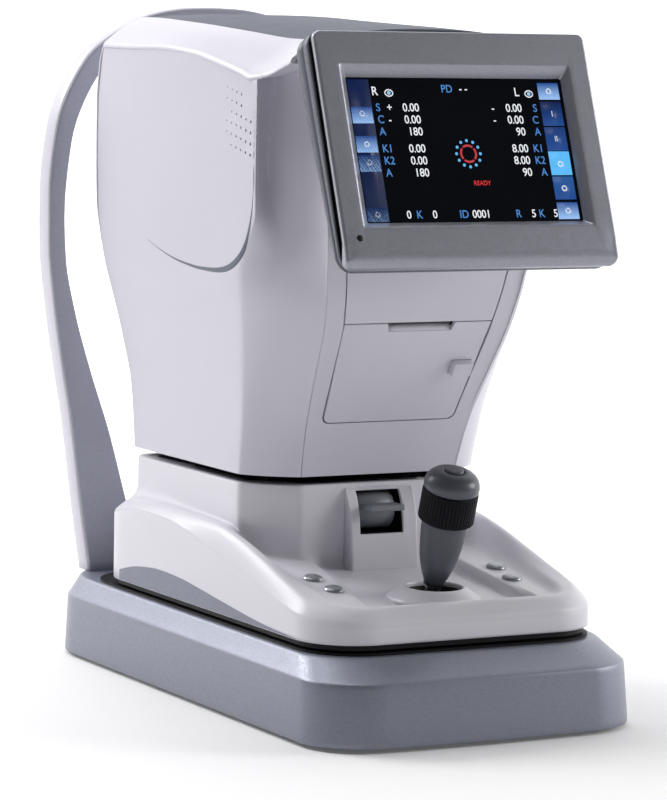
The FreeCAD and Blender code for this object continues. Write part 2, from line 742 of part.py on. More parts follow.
BUTTONS = {"button_left_rear": (-1, "rear"), "button_left_front": (-1, "front"),
           "button_right_rear": (1, "rear"), "button_right_front": (1, "front")}


def stage_cover():
    outside = join("stage_outside", stage_form("stage_lower", "0", "0"),
                   pedestal_form("pedestal", "0", "stage_skirt + 10", "pedestal_top"))
    inside = join("stage_inside", stage_form("stage_lower_inside", "wall", "wall"),
                  pedestal_form("pedestal_inside", "wall", "stage_skirt - 2", "pedestal_top - wall"))
    skirt_opening = box("skirt_opening", ("-58", "58"), ("-16", "96"),
                        ("pedestal_top - wall - 1", "pedestal_top + 1"))
    lock_window = box("lock_window", (f"{LOCK_X} - 16.6", f"{LOCK_X} + 16.6"), ("-64", "-55"),
                      ("111", "140.5"))
    collar_hole = tilted_bar("collar_hole", "31.2", "0", "stick_hole_y", "-12", "20")
    button_holes = [tilted_bar(f"{name}_hole", "button_radius + gap", f"{side} * button_{row}_x",
                               f"button_{row}_y", "-9", "9") for name, (side, row) in BUTTONS.items()]
    return keep("stage_cover", cut("stage_cover_all", outside, inside, skirt_opening, lock_window,
                                   collar_hole, *button_holes))


LOCK_X = "-1.6"
LOCK_Y = "-54"
LOCK_Z = "126"


def lock_bracket():
    """Two posts inside the pedestal that carry the lock lever's pin."""
    posts = [box(f"lock_post{side + 1}", (f"{LOCK_X} + {side} * 19.5 - 2", f"{LOCK_X} + {side} * 19.5 + 2"),
                 (f"{LOCK_Y} - 4.4", f"{LOCK_Y} + 6"), ("60", f"{LOCK_Z} + 6")) for side in (-1, 1)]
    bore = round_bar("lock_bore", "3 + running", "x", "-35", "30", (LOCK_Y, LOCK_Z))
    return cut("lock_bracket_all", join("lock_bracket_solid", *posts), bore)


def stage_chassis():
    """A black steel tray with pressed glide feet, the joystick's gimbal posts and the lock's bracket."""
    outline = rounded_section("chassis_outline", "stage_half_width - wall", "-stage_front + wall",
                              "stage_rear - wall", "stage_radius - wall", "stage_radius - wall", "57.3")
    tray = extrude("chassis_tray", outline, Z_AXIS, "3.2")
    tail_hole = round_bar("chassis_tail_hole", "10", "z", "50", "62", ("0", "stick_y"))
    posts = [box(f"gimbal_post{side + 1}", ("-5", "5"),
                 (f"stick_y + {side} * 19 - 2", f"stick_y + {side} * 19 + 2"), ("60", "stick_z + 2.5"))
             for side in (-1, 1)]
    pin_bore = round_bar("gimbal_pin_bore", "1.5 + running", "y", "stick_y - 30", "stick_y + 30",
                         ("0", "stick_z"))
    glides = [round_bar(f"glide_foot{number}", "9", "z", "slide_top + gap", "58", (x, y))
              for number, (x, y) in enumerate(((-74, -120), (74, -120), (-74, 110), (74, 110)))]
    gimbal_seat = cut("chassis_gimbal", join("chassis_solid", tray, *posts), tail_hole, pin_bore)
    return keep("stage_chassis", join("chassis_all", gimbal_seat, lock_bracket(), *glides))


def shaft_housing():
    """Block that rides along the cross shaft and carries the stage on a post."""
    block = box("housing_block", ("-38", "38"), ("slide_y - 14", "slide_y + 14"), ("23", "46"))
    post = box("housing_post", ("-18", "18"), ("slide_y - 16", "slide_y + 16"), ("45", "57.3"))
    bore = round_bar("housing_bore", "7", "x", "-40", "40", ("slide_y", "shaft_z"))
    keep("shaft_housing", cut("housing_all", join("housing_solid", block, post), bore))
    bushes = [tube(f"bush{side + 1}", "7", "shaft_radius + running", "x", f"{side} * 27 - 11",
                   f"{side} * 27 + 11", ("slide_y", "shaft_z")) for side in (-1, 1)]
    keep("stage_bushes", group("stage_bushes_all", *bushes))


def side_inserts():
    """Crescent-shaped grey inserts along the lower sides of the stage cover."""
    low = amount("stage_skirt") + 0.4
    thickness = 0.8
    front_tip = Vector(0, -150, low)
    crown = Vector(0, 33, 77)
    rear_tip = Vector(0, 136, low)
    top = Part.Arc(front_tip, crown, rear_tip).toShape()
    bottom = Part.makeLine(rear_tip, front_tip)
    face = Part.Face(Part.Wire([top, bottom]))
    solids = []
    for side in (-1, 1):
        plate = face.extrude(Vector(side * thickness, 0, 0))
        plate.translate(Vector(side * amount("stage_half_width"), 0, 0))
        solids.append(plate)
    return keep("side_inserts", made("side_inserts_form", Part.makeCompound(solids)))


def joystick_collar():
    """A raised ring whose rim lies nearly level, so that it stands highest above the deck at its front."""
    skirt = cone("collar_cone", "30.5", "20", "-4", "3")
    foot = round_bar("collar_foot", "30.5", "z", "-6", "-4", ("0", "0"))
    hole = round_bar("collar_bore", "stick_hole", "z", "-8", "5", ("0", "0"))
    collar = cut("collar_all", join("collar_solid", skirt, foot), hole)
    place(collar, "0", "stick_hole_y", deck_height("stick_hole_y"), X_AXIS, "collar_slope")
    return keep("joystick_collar", collar)


def lock_pieces():
    """White block on the pedestal's front with a window, and the grey drum lever that turns in it."""
    pedestal_front = "-61.5"
    wedge = side_profile("lock_wedge", ((pedestal_front, deck_height("-61")), ("-74", deck_height("-73.5")),
                                        ("-71", "122"), ("-69", "130"), ("-66.5", "136"), ("-64", "140"),
                                        (pedestal_front, "141.7")), "-24.5", "25")
    window = box("lock_wedge_window", (f"{LOCK_X} - 15.8", f"{LOCK_X} + 15.8"), ("-80", "-60"),
                 ("112", "140"))
    keep("lock_housing", cut("lock_housing_all", wedge, window))
    drum = round_bar("lock_drum", "12.5", "x", f"{LOCK_X} - 15.3", f"{LOCK_X} + 12.3", (LOCK_Y, LOCK_Z))
    pin = round_bar("lock_pin", "3", "x", f"{LOCK_X} - 21", f"{LOCK_X} + 21", (LOCK_Y, LOCK_Z))
    tab = box("lock_tab", ("-14.5", "11.5"), (f"{LOCK_Y} - 25", f"{LOCK_Y} - 8"),
              (f"{LOCK_Z} + 1.3", f"{LOCK_Z} + 5.3"))
    keep("lock_lever", join("lock_lever_all", drum, pin, tab))


def control_buttons():
    """Four domed buttons, each square to the deck."""
    for name, (side, row) in BUTTONS.items():
        body = turned(name + "_body", (("0", "-6"), ("button_radius", "-6"), ("button_radius", "1.4"),
                                       ("button_radius - 1.6", "2.6"), ("0", "3.1")))
        place(body, f"{side} * button_{row}_x", f"button_{row}_y", deck_height(f"button_{row}_y"),
              X_AXIS, "deck_slope")
        keep(name, body)


# ---------------------------------------------------------------------------------------------------------
# Joystick. Its pieces are drawn upright about the pivot and then leaned together.
# ---------------------------------------------------------------------------------------------------------

def lean(item):
    return place(item, "0", "stick_y", "stick_z", X_AXIS, "stick_lean")


def gimbal_ring():
    ring = tube("gimbal_hoop", "15", "11", "z", "stick_z - 2", "stick_z + 2", ("0", "stick_y"))
    pins = [round_bar(f"gimbal_pin{side + 1}", "1.5", "y", f"stick_y + {side} * 17 - 4",
                      f"stick_y + {side} * 17 + 4", ("0", "stick_z")) for side in (-1, 1)]
    bore = round_bar("gimbal_bore", "1.5 + running", "x", "-20", "20", ("stick_y", "stick_z"))
    return keep("gimbal_ring", cut("gimbal_all", join("gimbal_solid", ring, *pins), bore))


def joystick():
    ball = document.addObject("Part::Sphere", "stick_ball")
    bind(ball, "Radius", "7")
    cross_pin = round_bar("stick_cross_pin", "1.5", "x", "-14", "14", ("0", "0"))
    shaft = round_bar("stick_shaft", "5", "z", "0", "60", ("0", "0"))
    tail = round_bar("stick_tail", "2.5", "z", "-9", "0", ("0", "0"))
    keep("joystick_stick", lean(join("stick_all", ball, cross_pin, shaft, tail)))

    handle = turned("Handle", (("5", "24"), ("6", "26"), ("9.5", "37"), ("13.2", "50"), ("15", "61"),
                               ("15.4", "stick_ring_low - 0.3"), ("stick_bore", "stick_ring_low - 0.3"),
                               ("stick_bore", "stick_ring_high + 0.3"), ("0", "stick_ring_high + 0.3"),
                               ("0", "60"), ("5", "60")))
    keep("joystick_handle", lean(handle))

    dome = turned("Dome", (("trigger_radius + 0.1", "stick_ring_high + 0.3"),
                           ("stick_ring_radius - 0.3", "stick_ring_high + 0.3"),
                           ("stick_ring_radius - 0.1", "stick_ring_high + 3.5"),
                           ("stick_ring_radius - 1.6", "stick_cap_high - 3.8"),
                           ("11.5", "stick_cap_high - 0.4"), ("8", "stick_cap_high"),
                           ("trigger_radius + 0.1", "stick_cap_high")))
    keep("joystick_cap", lean(dome))

    cover = turned("DustCap", (("5", "15.6"), ("8.4", "13"), ("9.6", "10"), ("10.8", "11.4"), ("9", "14.6"),
                               ("5", "17.8")))
    keep("joystick_dust_cap", lean(cover))

    trigger = turned("Trigger", (("0", "stick_ring_high + 3.5"), ("trigger_radius", "stick_ring_high + 3.5"),
                                 ("trigger_radius", "stick_cap_high + 0.6"),
                                 ("trigger_radius - 0.8", "stick_cap_high + 1.2"),
                                 ("0", "stick_cap_high + 1.2")))
    keep("trigger_button", lean(trigger))


def joystick_ring():
    """Ring with knurled grooves that sets the height of the head."""
    body = new_body("HeightRing")
    outline = body_sketch(body, "height_ring_outline")
    draw_circle(outline, "stick_ring_radius")
    draw_circle(outline, "stick_bore + running")
    pad(body, "height_ring_pad", outline, "stick_ring_high - stick_ring_low")
    groove = body_sketch(body, "height_ring_groove")
    draw_polygon(groove, (("stick_ring_radius - 0.8", "-0.2"), ("stick_ring_radius + 1", "-0.9"),
                          ("stick_ring_radius + 1", "0.9"), ("stick_ring_radius - 0.8", "0.2")))
    pocket = pocket_through(body, "height_ring_pocket", groove, "80")
    around(body, "height_ring_knurl", pocket, groove, "48")
    place(body, "0", "stick_y - stick_ring_low * sin(stick_lean)",
          "stick_z + stick_ring_low * cos(stick_lean)", X_AXIS, "stick_lean")
    return keep("joystick_ring", body)


# ---------------------------------------------------------------------------------------------------------
# Lift
# ---------------------------------------------------------------------------------------------------------

def lift():
    motor = box("lift_motor_case", ("-17.5", "17.5"), ("lift_y - 17.5", "lift_y + 17.5"), ("60.5", "92"))
    keep("lift_motor", motor)
    rods = [round_bar(f"lift_rod{side + 1}", "lift_rod_radius", "z", "60.5", "215",
                      (f"{side} * lift_rod_x", "lift_y")) for side in (-1, 1)]
    keep("lift_rods", group("lift_rods_all", *rods))
    keep("lift_screw", round_bar("lift_screw_rod", "lift_screw_radius", "z", "92 + gap", "196",
                                 ("0", "lift_y")))
    outside = box("skirt_outside", ("-56", "56"), ("-14", "94"), ("110", "head_bottom + gap"))
    inside = box("skirt_inside", ("-54", "54"), ("-12", "92"), ("109", "head_bottom + 1"))
    keep("lift_skirt", cut("lift_skirt_all", outside, inside))


# ---------------------------------------------------------------------------------------------------------
# Head: covers, chassis and optics
# ---------------------------------------------------------------------------------------------------------

def head_levels():
    """Plan of the right side of the head at rising heights.

    Each level gives the height and the points round the side: front seam, two points of the front corner,
    the flank's front edge, and the two points of the rear corner.
    """
    low = amount("head_bottom")
    wide = amount("head_half_width")
    rear = amount("head_rear")
    return (
        (low, ((56.5, -61.5), (72, -47), (87, -33), (87, -30), (87, 121), (79, 131))),
        (186, ((60, -74.2), (74, -60.5), (88.8, -47), (89.5, -42), (89.5, 121), (81, 131))),
        (252, ((67.5, -111.7), (83, -94), (96.5, -77), (99, -67), (99, 139), (90, 149))),
        (282, ((71.5, -121), (87, -108), (93, -93), (wide - 0.5, -85), (103, 148), (94, 158))),
        (310, ((74, -126), (90, -117), (91, -94), (wide, -86), (wide, 153), (95, rear))),
        (350, ((74, -126), (90, -117), (91, -94), (wide, -86), (wide, 154), (95, rear))),
        (392, ((74, -114), (90, -107), (91, -94), (wide, -86), (wide, 154), (95, rear))),
        (422, ((72, -103), (88, -99), (90, -92), (wide - 1, -78), (wide - 1, 149), (93, 156))),
        (amount("head_top"), ((66, -100), (72, -97), (76, -90), (80, -76), (80, 140), (72, 147))),
    )


def inward(points, distance):
    """The same path moved square to itself by a distance, towards the inside of the head."""
    moved = []
    for index, (x, y) in enumerate(points):
        before = points[max(index - 1, 0)]
        after = points[min(index + 1, len(points) - 1)]
        along = Vector(after[0] - before[0], after[1] - before[1], 0).normalize()
        moved.append((x - along.y * distance, y + along.x * distance))
    return moved


def closed_wire(points, height, side=1):
    corners = [Vector(side * x, y, height) for x, y in points]
    return Part.makePolygon(corners + corners[:1])


def side_cover(side):
    """One moulded side of the head, from the front seam round to the rear seam."""
    wires = []
    for height, points in head_levels():
        seam = 0.15
        path = list(points)
        for end in (0, -1):
            path[end] = (points[end][0] + seam, points[end][1])
        inner = inward(path, amount("wall"))
        inner[0] = (path[0][0], path[0][1] + amount("wall"))
        inner[-1] = (path[-1][0], path[-1][1] - amount("wall"))
        wires.append(closed_wire(path + inner[::-1], height, side))
    return Part.makeLoft(wires, True, True)


def front_panel_shape():
    wires = []
    for height, points in head_levels():
        half, front = points[0][0] - 0.15, points[0][1]
        depth = front + amount("wall")
        wires.append(closed_wire([(-half, front), (half, front), (half, depth), (-half, depth)], height))
    return Part.makeLoft(wires, True, True)


def rear_cover_shape():
    wires = []
    for height, points in head_levels():
        half, rear = points[-1][0] - 0.15, points[-1][1]
        depth = rear - amount("wall")
        wires.append(closed_wire([(-half, depth), (half, depth), (half, rear), (-half, rear)], height))
    return Part.makeLoft(wires, True, True)


def door_opening():
    """The tapered hole that the printer door closes, cut square to the door."""
    sketch = loose_sketch("door_opening_outline")
    draw_polygon(sketch, (("-door_bottom_half - gap", "-3 * gap"), ("door_bottom_half + gap", "-3 * gap"),
                          ("door_top_half + gap", "door_height + gap"),
                          ("-door_top_half - gap", "door_height + gap")))
    sketch.Placement = Placement(Vector(), Rotation(X_AXIS, 90))
    return lean_with_door(group("door_opening", extrude("door_opening_block", sketch, Y_AXIS, "40", "-20")))


def head_covers():
    keep("left_cover", made("left_cover_form", side_cover(-1)))
    keep("right_cover", made("right_cover_form", side_cover(1)))

    panel = made("front_panel_form", front_panel_shape())
    hinge_slots = [box(f"hinge_slot{side + 1}", (f"{side} * 36 - 9", f"{side} * 36 + 9"), ("-125", "-92"),
                       ("398", "432")) for side in (-1, 1)]
    keep("front_panel", cut("front_panel_all", panel, door_opening(), *hinge_slots))

    rear = made("rear_cover_form", rear_cover_shape())
    window = round_bar("rear_window", "optic_radius + gap", "y", "head_rear - 20", "head_rear + 5",
                       ("0", "optic_z"))
    keep("rear_cover", cut("rear_cover_all", rear, window))

    top = side_profile("top_cover_form", (("-104", "head_top + 0.2"), ("154", "head_top + 0.2"),
                                          ("150", "head_top + 9"), ("-40", "head_top + 5"),
                                          ("-106", "head_top + 1.4")), "-top_half_width", "top_half_width")
    hollow = side_profile("top_cover_hollow", (("-98", "head_top - 1"), ("148", "head_top - 1"),
                                               ("146", "head_top + 6"), ("-40", "head_top + 2.4")),
                          "-top_half_width + wall", "top_half_width - wall")
    keep("top_cover", cut("top_cover_all", top, hollow))


def head_chassis():
    plate = box("chassis_plate", ("-80", "80"), ("-26", "120"), ("head_bottom + gap", "head_bottom + 4.3"))
    uprights = [box(f"upright{side + 1}", (f"{side} * 59.5 - 1.5", f"{side} * 59.5 + 1.5"), ("-10", "110"),
                    ("head_bottom + 4", "390")) for side in (-1, 1)]
    bridge = box("chassis_bridge", ("-60", "60"), ("-10", "110"), ("387", "390"))
    saddle = box("optic_saddle", ("-60", "60"), ("0", "100"), ("290", "293"))
    cradle = box("optic_cradle", ("-20", "20"), ("20", "80"), ("292", "optic_z - optic_radius + 3"))
    seat = round_bar("optic_seat", "optic_radius", "y", "10", "90", ("0", "optic_z"))
    rod_holes = [round_bar(f"chassis_rod_hole{side + 1}", "9", "z", "head_bottom - 1", "head_bottom + 8",
                           (f"{side} * lift_rod_x", "lift_y")) for side in (-1, 1)]
    nut_hole = round_bar("chassis_nut_hole", "8", "z", "head_bottom - 1", "head_bottom + 8", ("0", "lift_y"))
    keep("head_chassis", cut("head_chassis_all",
                             join("head_chassis_solid", plate, *uprights, bridge, saddle, cradle),
                             seat, *rod_holes, nut_hole))
    bushes = [tube(f"head_bush{side + 1}", "9", "lift_rod_radius + running", "z", "head_bottom + gap",
                   "head_bottom + 26", (f"{side} * lift_rod_x", "lift_y")) for side in (-1, 1)]
    nut = tube("lift_nut", "8", "lift_screw_radius + running", "z", "head_bottom + gap", "head_bottom + 14",
               ("0", "lift_y"))
    keep("head_bushes", group("head_bushes_all", nut, *bushes))


def optics():
    barrel = round_bar("optic_barrel", "optic_radius", "y", "-40", "head_rear - 0.5", ("0", "optic_z"))
    recess = round_bar("optic_recess", "lens_radius", "y", "head_rear - 12", "head_rear + 1",
                       ("0", "optic_z"))
    keep("optical_tube", cut("optical_tube_all", barrel, recess))
    keep("objective_lens", round_bar("lens_disc", "lens_radius", "y", "head_rear - 12", "head_rear - 6",
                                     ("0", "optic_z")))


# ---------------------------------------------------------------------------------------------------------
# Printer, drawn upright behind the door and leaned with it
# ---------------------------------------------------------------------------------------------------------

def lean_with_door(item):
    return place(item, "0", "door_y", "door_z", X_AXIS, "door_lean")


def printer():
    frame_outside = box("printer_outside", ("-47", "47"), ("5", "58"), ("3", "73"))
    frame_inside = box("printer_inside", ("-45.5", "45.5"), ("4", "56.5"), ("4.5", "71.5"))
    spindle_lugs = [box(f"spindle_lug{side + 1}", (f"{side} * 37.5 - 8.4", f"{side} * 37.5 + 8.4"),
                        ("27", "35"), ("30", "38")) for side in (-1, 1)]
    thermal_head = box("thermal_head", ("-32", "32"), ("14.4", "18"), ("58", "72"))
    frame = join("printer_frame_all", cut("printer_tray", frame_outside, frame_inside), *spindle_lugs,
                 thermal_head)
    keep("printer_frame", lean_with_door(frame))
    roll = tube("paper_roll_all", "paper_radius", "6", "x", "-paper_half_width", "paper_half_width",
                ("31", "34"))
    keep("paper_roll", lean_with_door(roll))


def printer_door():
    body = new_body("PrinterDoor")
    outline = body_sketch(body, "door_outline", "XZ_Plane")
    notch = "6"
    draw_polygon(outline, (
        ("-door_bottom_half + 5", "0"), ("door_bottom_half - 5", "0"), ("door_bottom_half", "4"),
        ("door_top_half", "door_height"), ("27", "door_height"), ("25", f"door_height - {notch}"),
        ("-20", f"door_height - {notch}"), ("-22", "door_height"), ("-door_top_half", "door_height"),
        ("-door_bottom_half", "4")))
    pad(body, "door_pad", outline, "3", symmetric=True)
    place(body, "0", "1.5", "0")
    key_hole = box("door_key_hole", ("33.5 - gap", "47.5 + gap"), ("-1", "4"), ("36.6 - gap", "46.6 + gap"))
    lugs = [box(f"platen_lug{side + 1}", (f"{side} * 34 - 1.5", f"{side} * 34 + 1.5"), ("2.5", "13"),
                ("60", "69")) for side in (-1, 1)]
    bore = round_bar("platen_bore", "2 + running", "x", "-40", "40", ("9", "64.5"))
    door = cut("door_all", join("door_solid", body, *lugs), key_hole, bore)
    keep("printer_door", lean_with_door(door))
    roller = round_bar("platen_rubber", "platen_radius", "x", "-31", "31", ("9", "64.5"))
    axle = round_bar("platen_axle", "2", "x", "-35.5", "35.5", ("9", "64.5"))
    keep("platen_roller", lean_with_door(join("platen_all", roller, axle)))
    key = box("door_key", ("33.5", "47.5"), ("-5", "2.6"), ("36.6", "46.6"))
    keep("door_button", lean_with_door(group("door_button_all", key)))


# ---------------------------------------------------------------------------------------------------------
# Screen, drawn upright about the middle of the display and tilted back
# ---------------------------------------------------------------------------------------------------------

def tilt_back(item):
    return place(item, "0", "screen_y", "screen_z", X_AXIS, "-screen_tilt")


def screen():
    rim_corner = "8"
    half_height = "screen_half_height + 3"
    outline = (("4", f"-({half_height})"), ("13", f"-({half_height}) + 2"), ("16", "-26"), ("24", "40"),
               ("23", f"{half_height} - 3"), ("6", half_height), ("4", half_height))
    solid = side_profile("housing_solid", outline, "-screen_half_width", "screen_half_width")
    hollow_outline = (("3", "-screen_half_height + 3"), ("11", "-screen_half_height + 4"), ("13.5", "-26"),
                      ("21.5", "40"), ("20.5", "screen_half_height - 3"), ("3", "screen_half_height - 3"))
    hollow = side_profile("housing_hollow", hollow_outline, "-screen_half_width + thin_wall",
                          "screen_half_width - thin_wall")
    slots = [box(f"housing_slot{side + 1}", (f"{side} * 36 - 6.5", f"{side} * 36 + 6.5"), ("8", "30"),
                 ("hinge_rise - 13", "hinge_rise + 11")) for side in (-1, 1)]
    cheeks = [box(f"housing_cheek{number}", (f"{x} - 1.5", f"{x} + 1.5"), ("10", "22"),
                  ("hinge_rise - 7", "hinge_rise + 7")) for number, x in enumerate((-44, -28, 28, 44))]
    bore = round_bar("housing_pin_bore", "2.5 + running", "x", "-50", "50", ("hinge_depth", "hinge_rise"))
    shell = cut("housing_shell", solid, hollow, *slots)
    keep("screen_housing", tilt_back(cut("housing_all_screen", join("housing_with_cheeks", shell, *cheeks),
                                         bore)))

    body = new_body("Bezel")
    frame_outline = body_sketch(body, "bezel_outline", "XZ_Plane")
    draw_rounded(frame_outline, "screen_half_width", "-screen_half_height", "screen_half_height",
                 rim_corner, rim_corner)
    pad(body, "bezel_pad", frame_outline, "8.5", symmetric=True)
    window = body_sketch(body, "bezel_window", "XZ_Plane")
    draw_rounded(window, "display_half_width + 0.8", "-display_half_height - 0.8",
                 "display_half_height + 0.8", "1", "1")
    pocket_through(body, "bezel_pocket", window, "20")
    place(body, "0", "-0.75", "0")
    seat = box("bezel_seat", ("-88.5", "88.5"), ("-0.2", "4"), ("-57.5", "57.5"))
    keep("screen_bezel", tilt_back(cut("bezel_all", body, seat)))
    slab = box("display_slab", ("-88", "88"), ("0", "5"), ("-57", "57"))
    keep("display_panel", tilt_back(group("display_panel_all", slab)))


def screen_bracket():
    """Two arms from the head's chassis that hold the tilt pins."""
    pin_y = "(screen_y + hinge_depth * cos(screen_tilt) + hinge_rise * sin(screen_tilt))"
    pin_z = "(screen_z - hinge_depth * sin(screen_tilt) + hinge_rise * cos(screen_tilt))"
    pieces = []
    for side in (-1, 1):
        x = (f"{side} * 36 - 5", f"{side} * 36 + 5")
        pieces.append(round_bar(f"hinge_knuckle{side + 1}", "5", "x", *x, (pin_y, pin_z)))
        pieces.append(box(f"hinge_arm{side + 1}", x, (pin_y, "-8"), (f"{pin_z} - 3.5", f"{pin_z} + 3.5")))
        pieces.append(box(f"hinge_leg{side + 1}", x, ("-12", "-6"), ("390", f"{pin_z} + 3.5")))
        pieces.append(round_bar(f"hinge_pin{side + 1}", "2.5", "x", f"{side} * 36 - 9.5",
                                f"{side} * 36 + 9.5", (pin_y, pin_z)))
    foot = box("hinge_foot", ("-50", "50"), ("-12", "20"), ("390", "393"))
    return keep("screen_bracket", join("screen_bracket_all", *pieces, foot))


# ---------------------------------------------------------------------------------------------------------
# Build everything, test it, write it
# ---------------------------------------------------------------------------------------------------------

def build():
    base_shell()
    bottom_plate()
    guide_rods()
    gear_racks()
    slide_plate()
    rubber_feet()
    base_screws()
    power_pieces()
    head_rest()
    chin_rest()
    carriage_frame()
    cross_shaft()
    stage_cover()
    stage_chassis()
    shaft_housing()
    side_inserts()
    joystick_collar()
    lock_pieces()
    control_buttons()
    gimbal_ring()
    joystick()
    joystick_ring()
    lift()
    head_covers()
    head_chassis()
    optics()
    printer()
    printer_door()
    screen()
    screen_bracket()


def check():
    """Stops with a message if any object failed or any sub-part is not a sound solid."""
    document.recompute()
    for item in document.Objects:
        failed = {"Invalid", "Error"} & set(item.State)
        assert not failed, f"{item.Name} is {item.State}"
    for node, item in PIECES.items():
        assert not item.Shape.isNull() and item.Shape.isValid(), f"{node} is not sound"
        assert item.Shape.Solids, f"{node} has no solid"
        assert item.Shape.Volume > 0, f"{node} is inside out"


def write():
    os.makedirs("parts", exist_ok=True)
    for node, item in PIECES.items():
        item.Shape.exportStep(f"parts/{node}.step")
        print(f"{node}: {len(item.Shape.Solids)} solid(s), {item.Shape.Volume / 1000:.1f} cm3")
    print(len(PIECES), "sub-parts")


build()
check()
write()
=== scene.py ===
"""Looks of the autorefractor: mouldings, controls, display and finishes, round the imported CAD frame.

Lengths are in millimetres in the row frame until a mesh is made. The operator is at -Y, the patient at +Y.
"""

import math

import bpy
import bmesh
import numpy as np
from mathutils import Matrix, Vector


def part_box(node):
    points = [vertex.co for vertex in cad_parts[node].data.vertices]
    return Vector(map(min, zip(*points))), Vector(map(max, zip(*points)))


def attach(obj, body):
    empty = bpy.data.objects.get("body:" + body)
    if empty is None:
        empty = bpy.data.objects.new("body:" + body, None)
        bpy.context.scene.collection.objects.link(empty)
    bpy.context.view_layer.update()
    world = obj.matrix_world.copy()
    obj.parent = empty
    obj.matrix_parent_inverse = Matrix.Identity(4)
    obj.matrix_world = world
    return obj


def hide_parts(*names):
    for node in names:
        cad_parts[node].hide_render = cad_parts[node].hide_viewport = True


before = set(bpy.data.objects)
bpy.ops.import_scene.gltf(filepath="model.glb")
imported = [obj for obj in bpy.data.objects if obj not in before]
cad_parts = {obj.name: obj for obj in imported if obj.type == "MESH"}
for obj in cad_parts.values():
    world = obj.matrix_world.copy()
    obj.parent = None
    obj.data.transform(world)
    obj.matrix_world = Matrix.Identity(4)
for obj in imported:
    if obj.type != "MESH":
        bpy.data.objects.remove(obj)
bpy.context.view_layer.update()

MM = 0.001
SEAM = 0.3           # half of the gap that shows between two mouldings
WIDE_SEAM = 1.5      # gap in front of the right side cover
SKIN = 2.4           # wall of the mouldings
TINY = 1e-6


# ---------------------------------------------------------------------------------------------------------
# Curves and steps
# ---------------------------------------------------------------------------------------------------------

def smooth_curve(*points):
    """A smooth function through (place, value) points that doesn't swing past them."""
    places = np.array([point[0] for point in points], float)
    values = np.array([point[1] for point in points], float)
    steps = np.diff(places)
    slopes = np.diff(values) / steps
    tangents = np.zeros(len(points))
    tangents[0], tangents[-1] = slopes[0], slopes[-1]
    for index in range(1, len(points) - 1):
        before, after = slopes[index - 1], slopes[index]
        if before * after > 0:
            tangents[index] = 2 * before * after / (before + after)

    def value_at(place):
        """The curve at a place; level beyond its ends."""
        place = np.clip(place, places[0], places[-1])
        index = np.clip(np.searchsorted(places, place, side="right") - 1, 0, len(steps) - 1)
        span = steps[index]
        share = (place - places[index]) / span
        rest = 1 - share
        return ((1 + 2 * share) * rest ** 2 * values[index] + share * rest ** 2 * span * tangents[index]
                + share ** 2 * (3 - 2 * share) * values[index + 1]
                - share ** 2 * rest * span * tangents[index + 1])

    return value_at


def ease(share):
    """0 to 1 with a level start and end."""
    share = np.clip(share, 0.0, 1.0)
    return share * share * (3 - 2 * share)


def blend(low, high, share):
    """The value a share of the way from low to high."""
    return low + (high - low) * share


def spread(start, end, count):
    """Evenly spaced values, both ends included."""
    return np.linspace(start, end, count)


def joined_steps(*runs):
    """Several rising runs of numbers as one, without the repeats where they meet."""
    steps = list(runs[0])
    for run in runs[1:]:
        steps.extend(list(run)[1:])
    return np.array(steps)


# ---------------------------------------------------------------------------------------------------------
# Places: frames that pieces are drawn in
# ---------------------------------------------------------------------------------------------------------

def tilted_frame(y, z, degrees):
    """Drawn upright about its own origin, then tilted about X and moved to (0, y, z)."""
    return Matrix.Translation((0, y, z)) @ Matrix.Rotation(math.radians(degrees), 4, "X")


UPRIGHT = Matrix.Identity(4)
STICK = tilted_frame(-130.6, 66.0, 17.3)          # the joystick's pivot, leaning towards the operator
DOOR = tilted_frame(-74.1, 185.8, 29.6)           # the lower edge of the printer door
SCREEN = tilted_frame(-165.7, 364.3, -20.2)       # the middle of the display
DECK_SLOPE = 8.7
STICK_HOLE_Y = -138.6                     # middle of the hole that the joystick stands in
WALL_Y = -61.5                            # the pedestal's front wall
STAGE_INSIDE = (0, 0, 62)                 # a point well inside the stage cover
SCREEN_INSIDE = (0, -163, 364)            # a point well inside the screen


def deck_plane(y):
    """Height of the sloping control deck."""
    return 78.0 + (y + 180.0) * math.tan(math.radians(DECK_SLOPE))


def on_deck(x, y):
    """A frame on the control deck, square to its slope."""
    return Matrix.Translation((x, 0, 0)) @ tilted_frame(y, deck_plane(y), DECK_SLOPE)


# ---------------------------------------------------------------------------------------------------------
# Mesh building
# ---------------------------------------------------------------------------------------------------------

def piece_from(name, vertices, faces, look, body, frame_matrix=UPRIGHT):
    """A smooth-shaded mesh with one finish, drawn in millimetres and riding on a body."""
    mesh = bpy.data.meshes.new(name)
    mesh.from_pydata([tuple((frame_matrix @ Vector(vertex)) * MM) for vertex in vertices], [], faces)
    mesh.validate()
    mesh.update()
    mesh.materials.append(look)
    for polygon in mesh.polygons:
        polygon.use_smooth = True
    piece = bpy.data.objects.new(name, mesh)
    bpy.context.scene.collection.objects.link(piece)
    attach(piece, body)
    return piece


def grid_faces(rows, columns, ring=False, tube=False):
    """Quads of a grid. ring closes each row on itself, tube joins the last row to the first."""
    faces = []
    for row in range(rows if tube else rows - 1):
        for column in range(columns if ring else columns - 1):
            right = (column + 1) % columns
            up = (row + 1) % rows
            faces.append((row * columns + column, row * columns + right,
                          up * columns + right, up * columns + column))
    return faces


def grid_piece(name, grid, look, body, frame_matrix=UPRIGHT, ring=False, tube=False, capped=False):
    """A piece from rows of points. capped closes the first and last row."""
    grid = np.asarray(grid, float)
    rows, columns = grid.shape[:2]
    faces = grid_faces(rows, columns, ring, tube)
    if capped:
        faces.append(tuple(reversed(range(columns))))
        faces.append(tuple(range((rows - 1) * columns, rows * columns)))
    return piece_from(name, grid.reshape(-1, 3).tolist(), faces, look, body, frame_matrix)


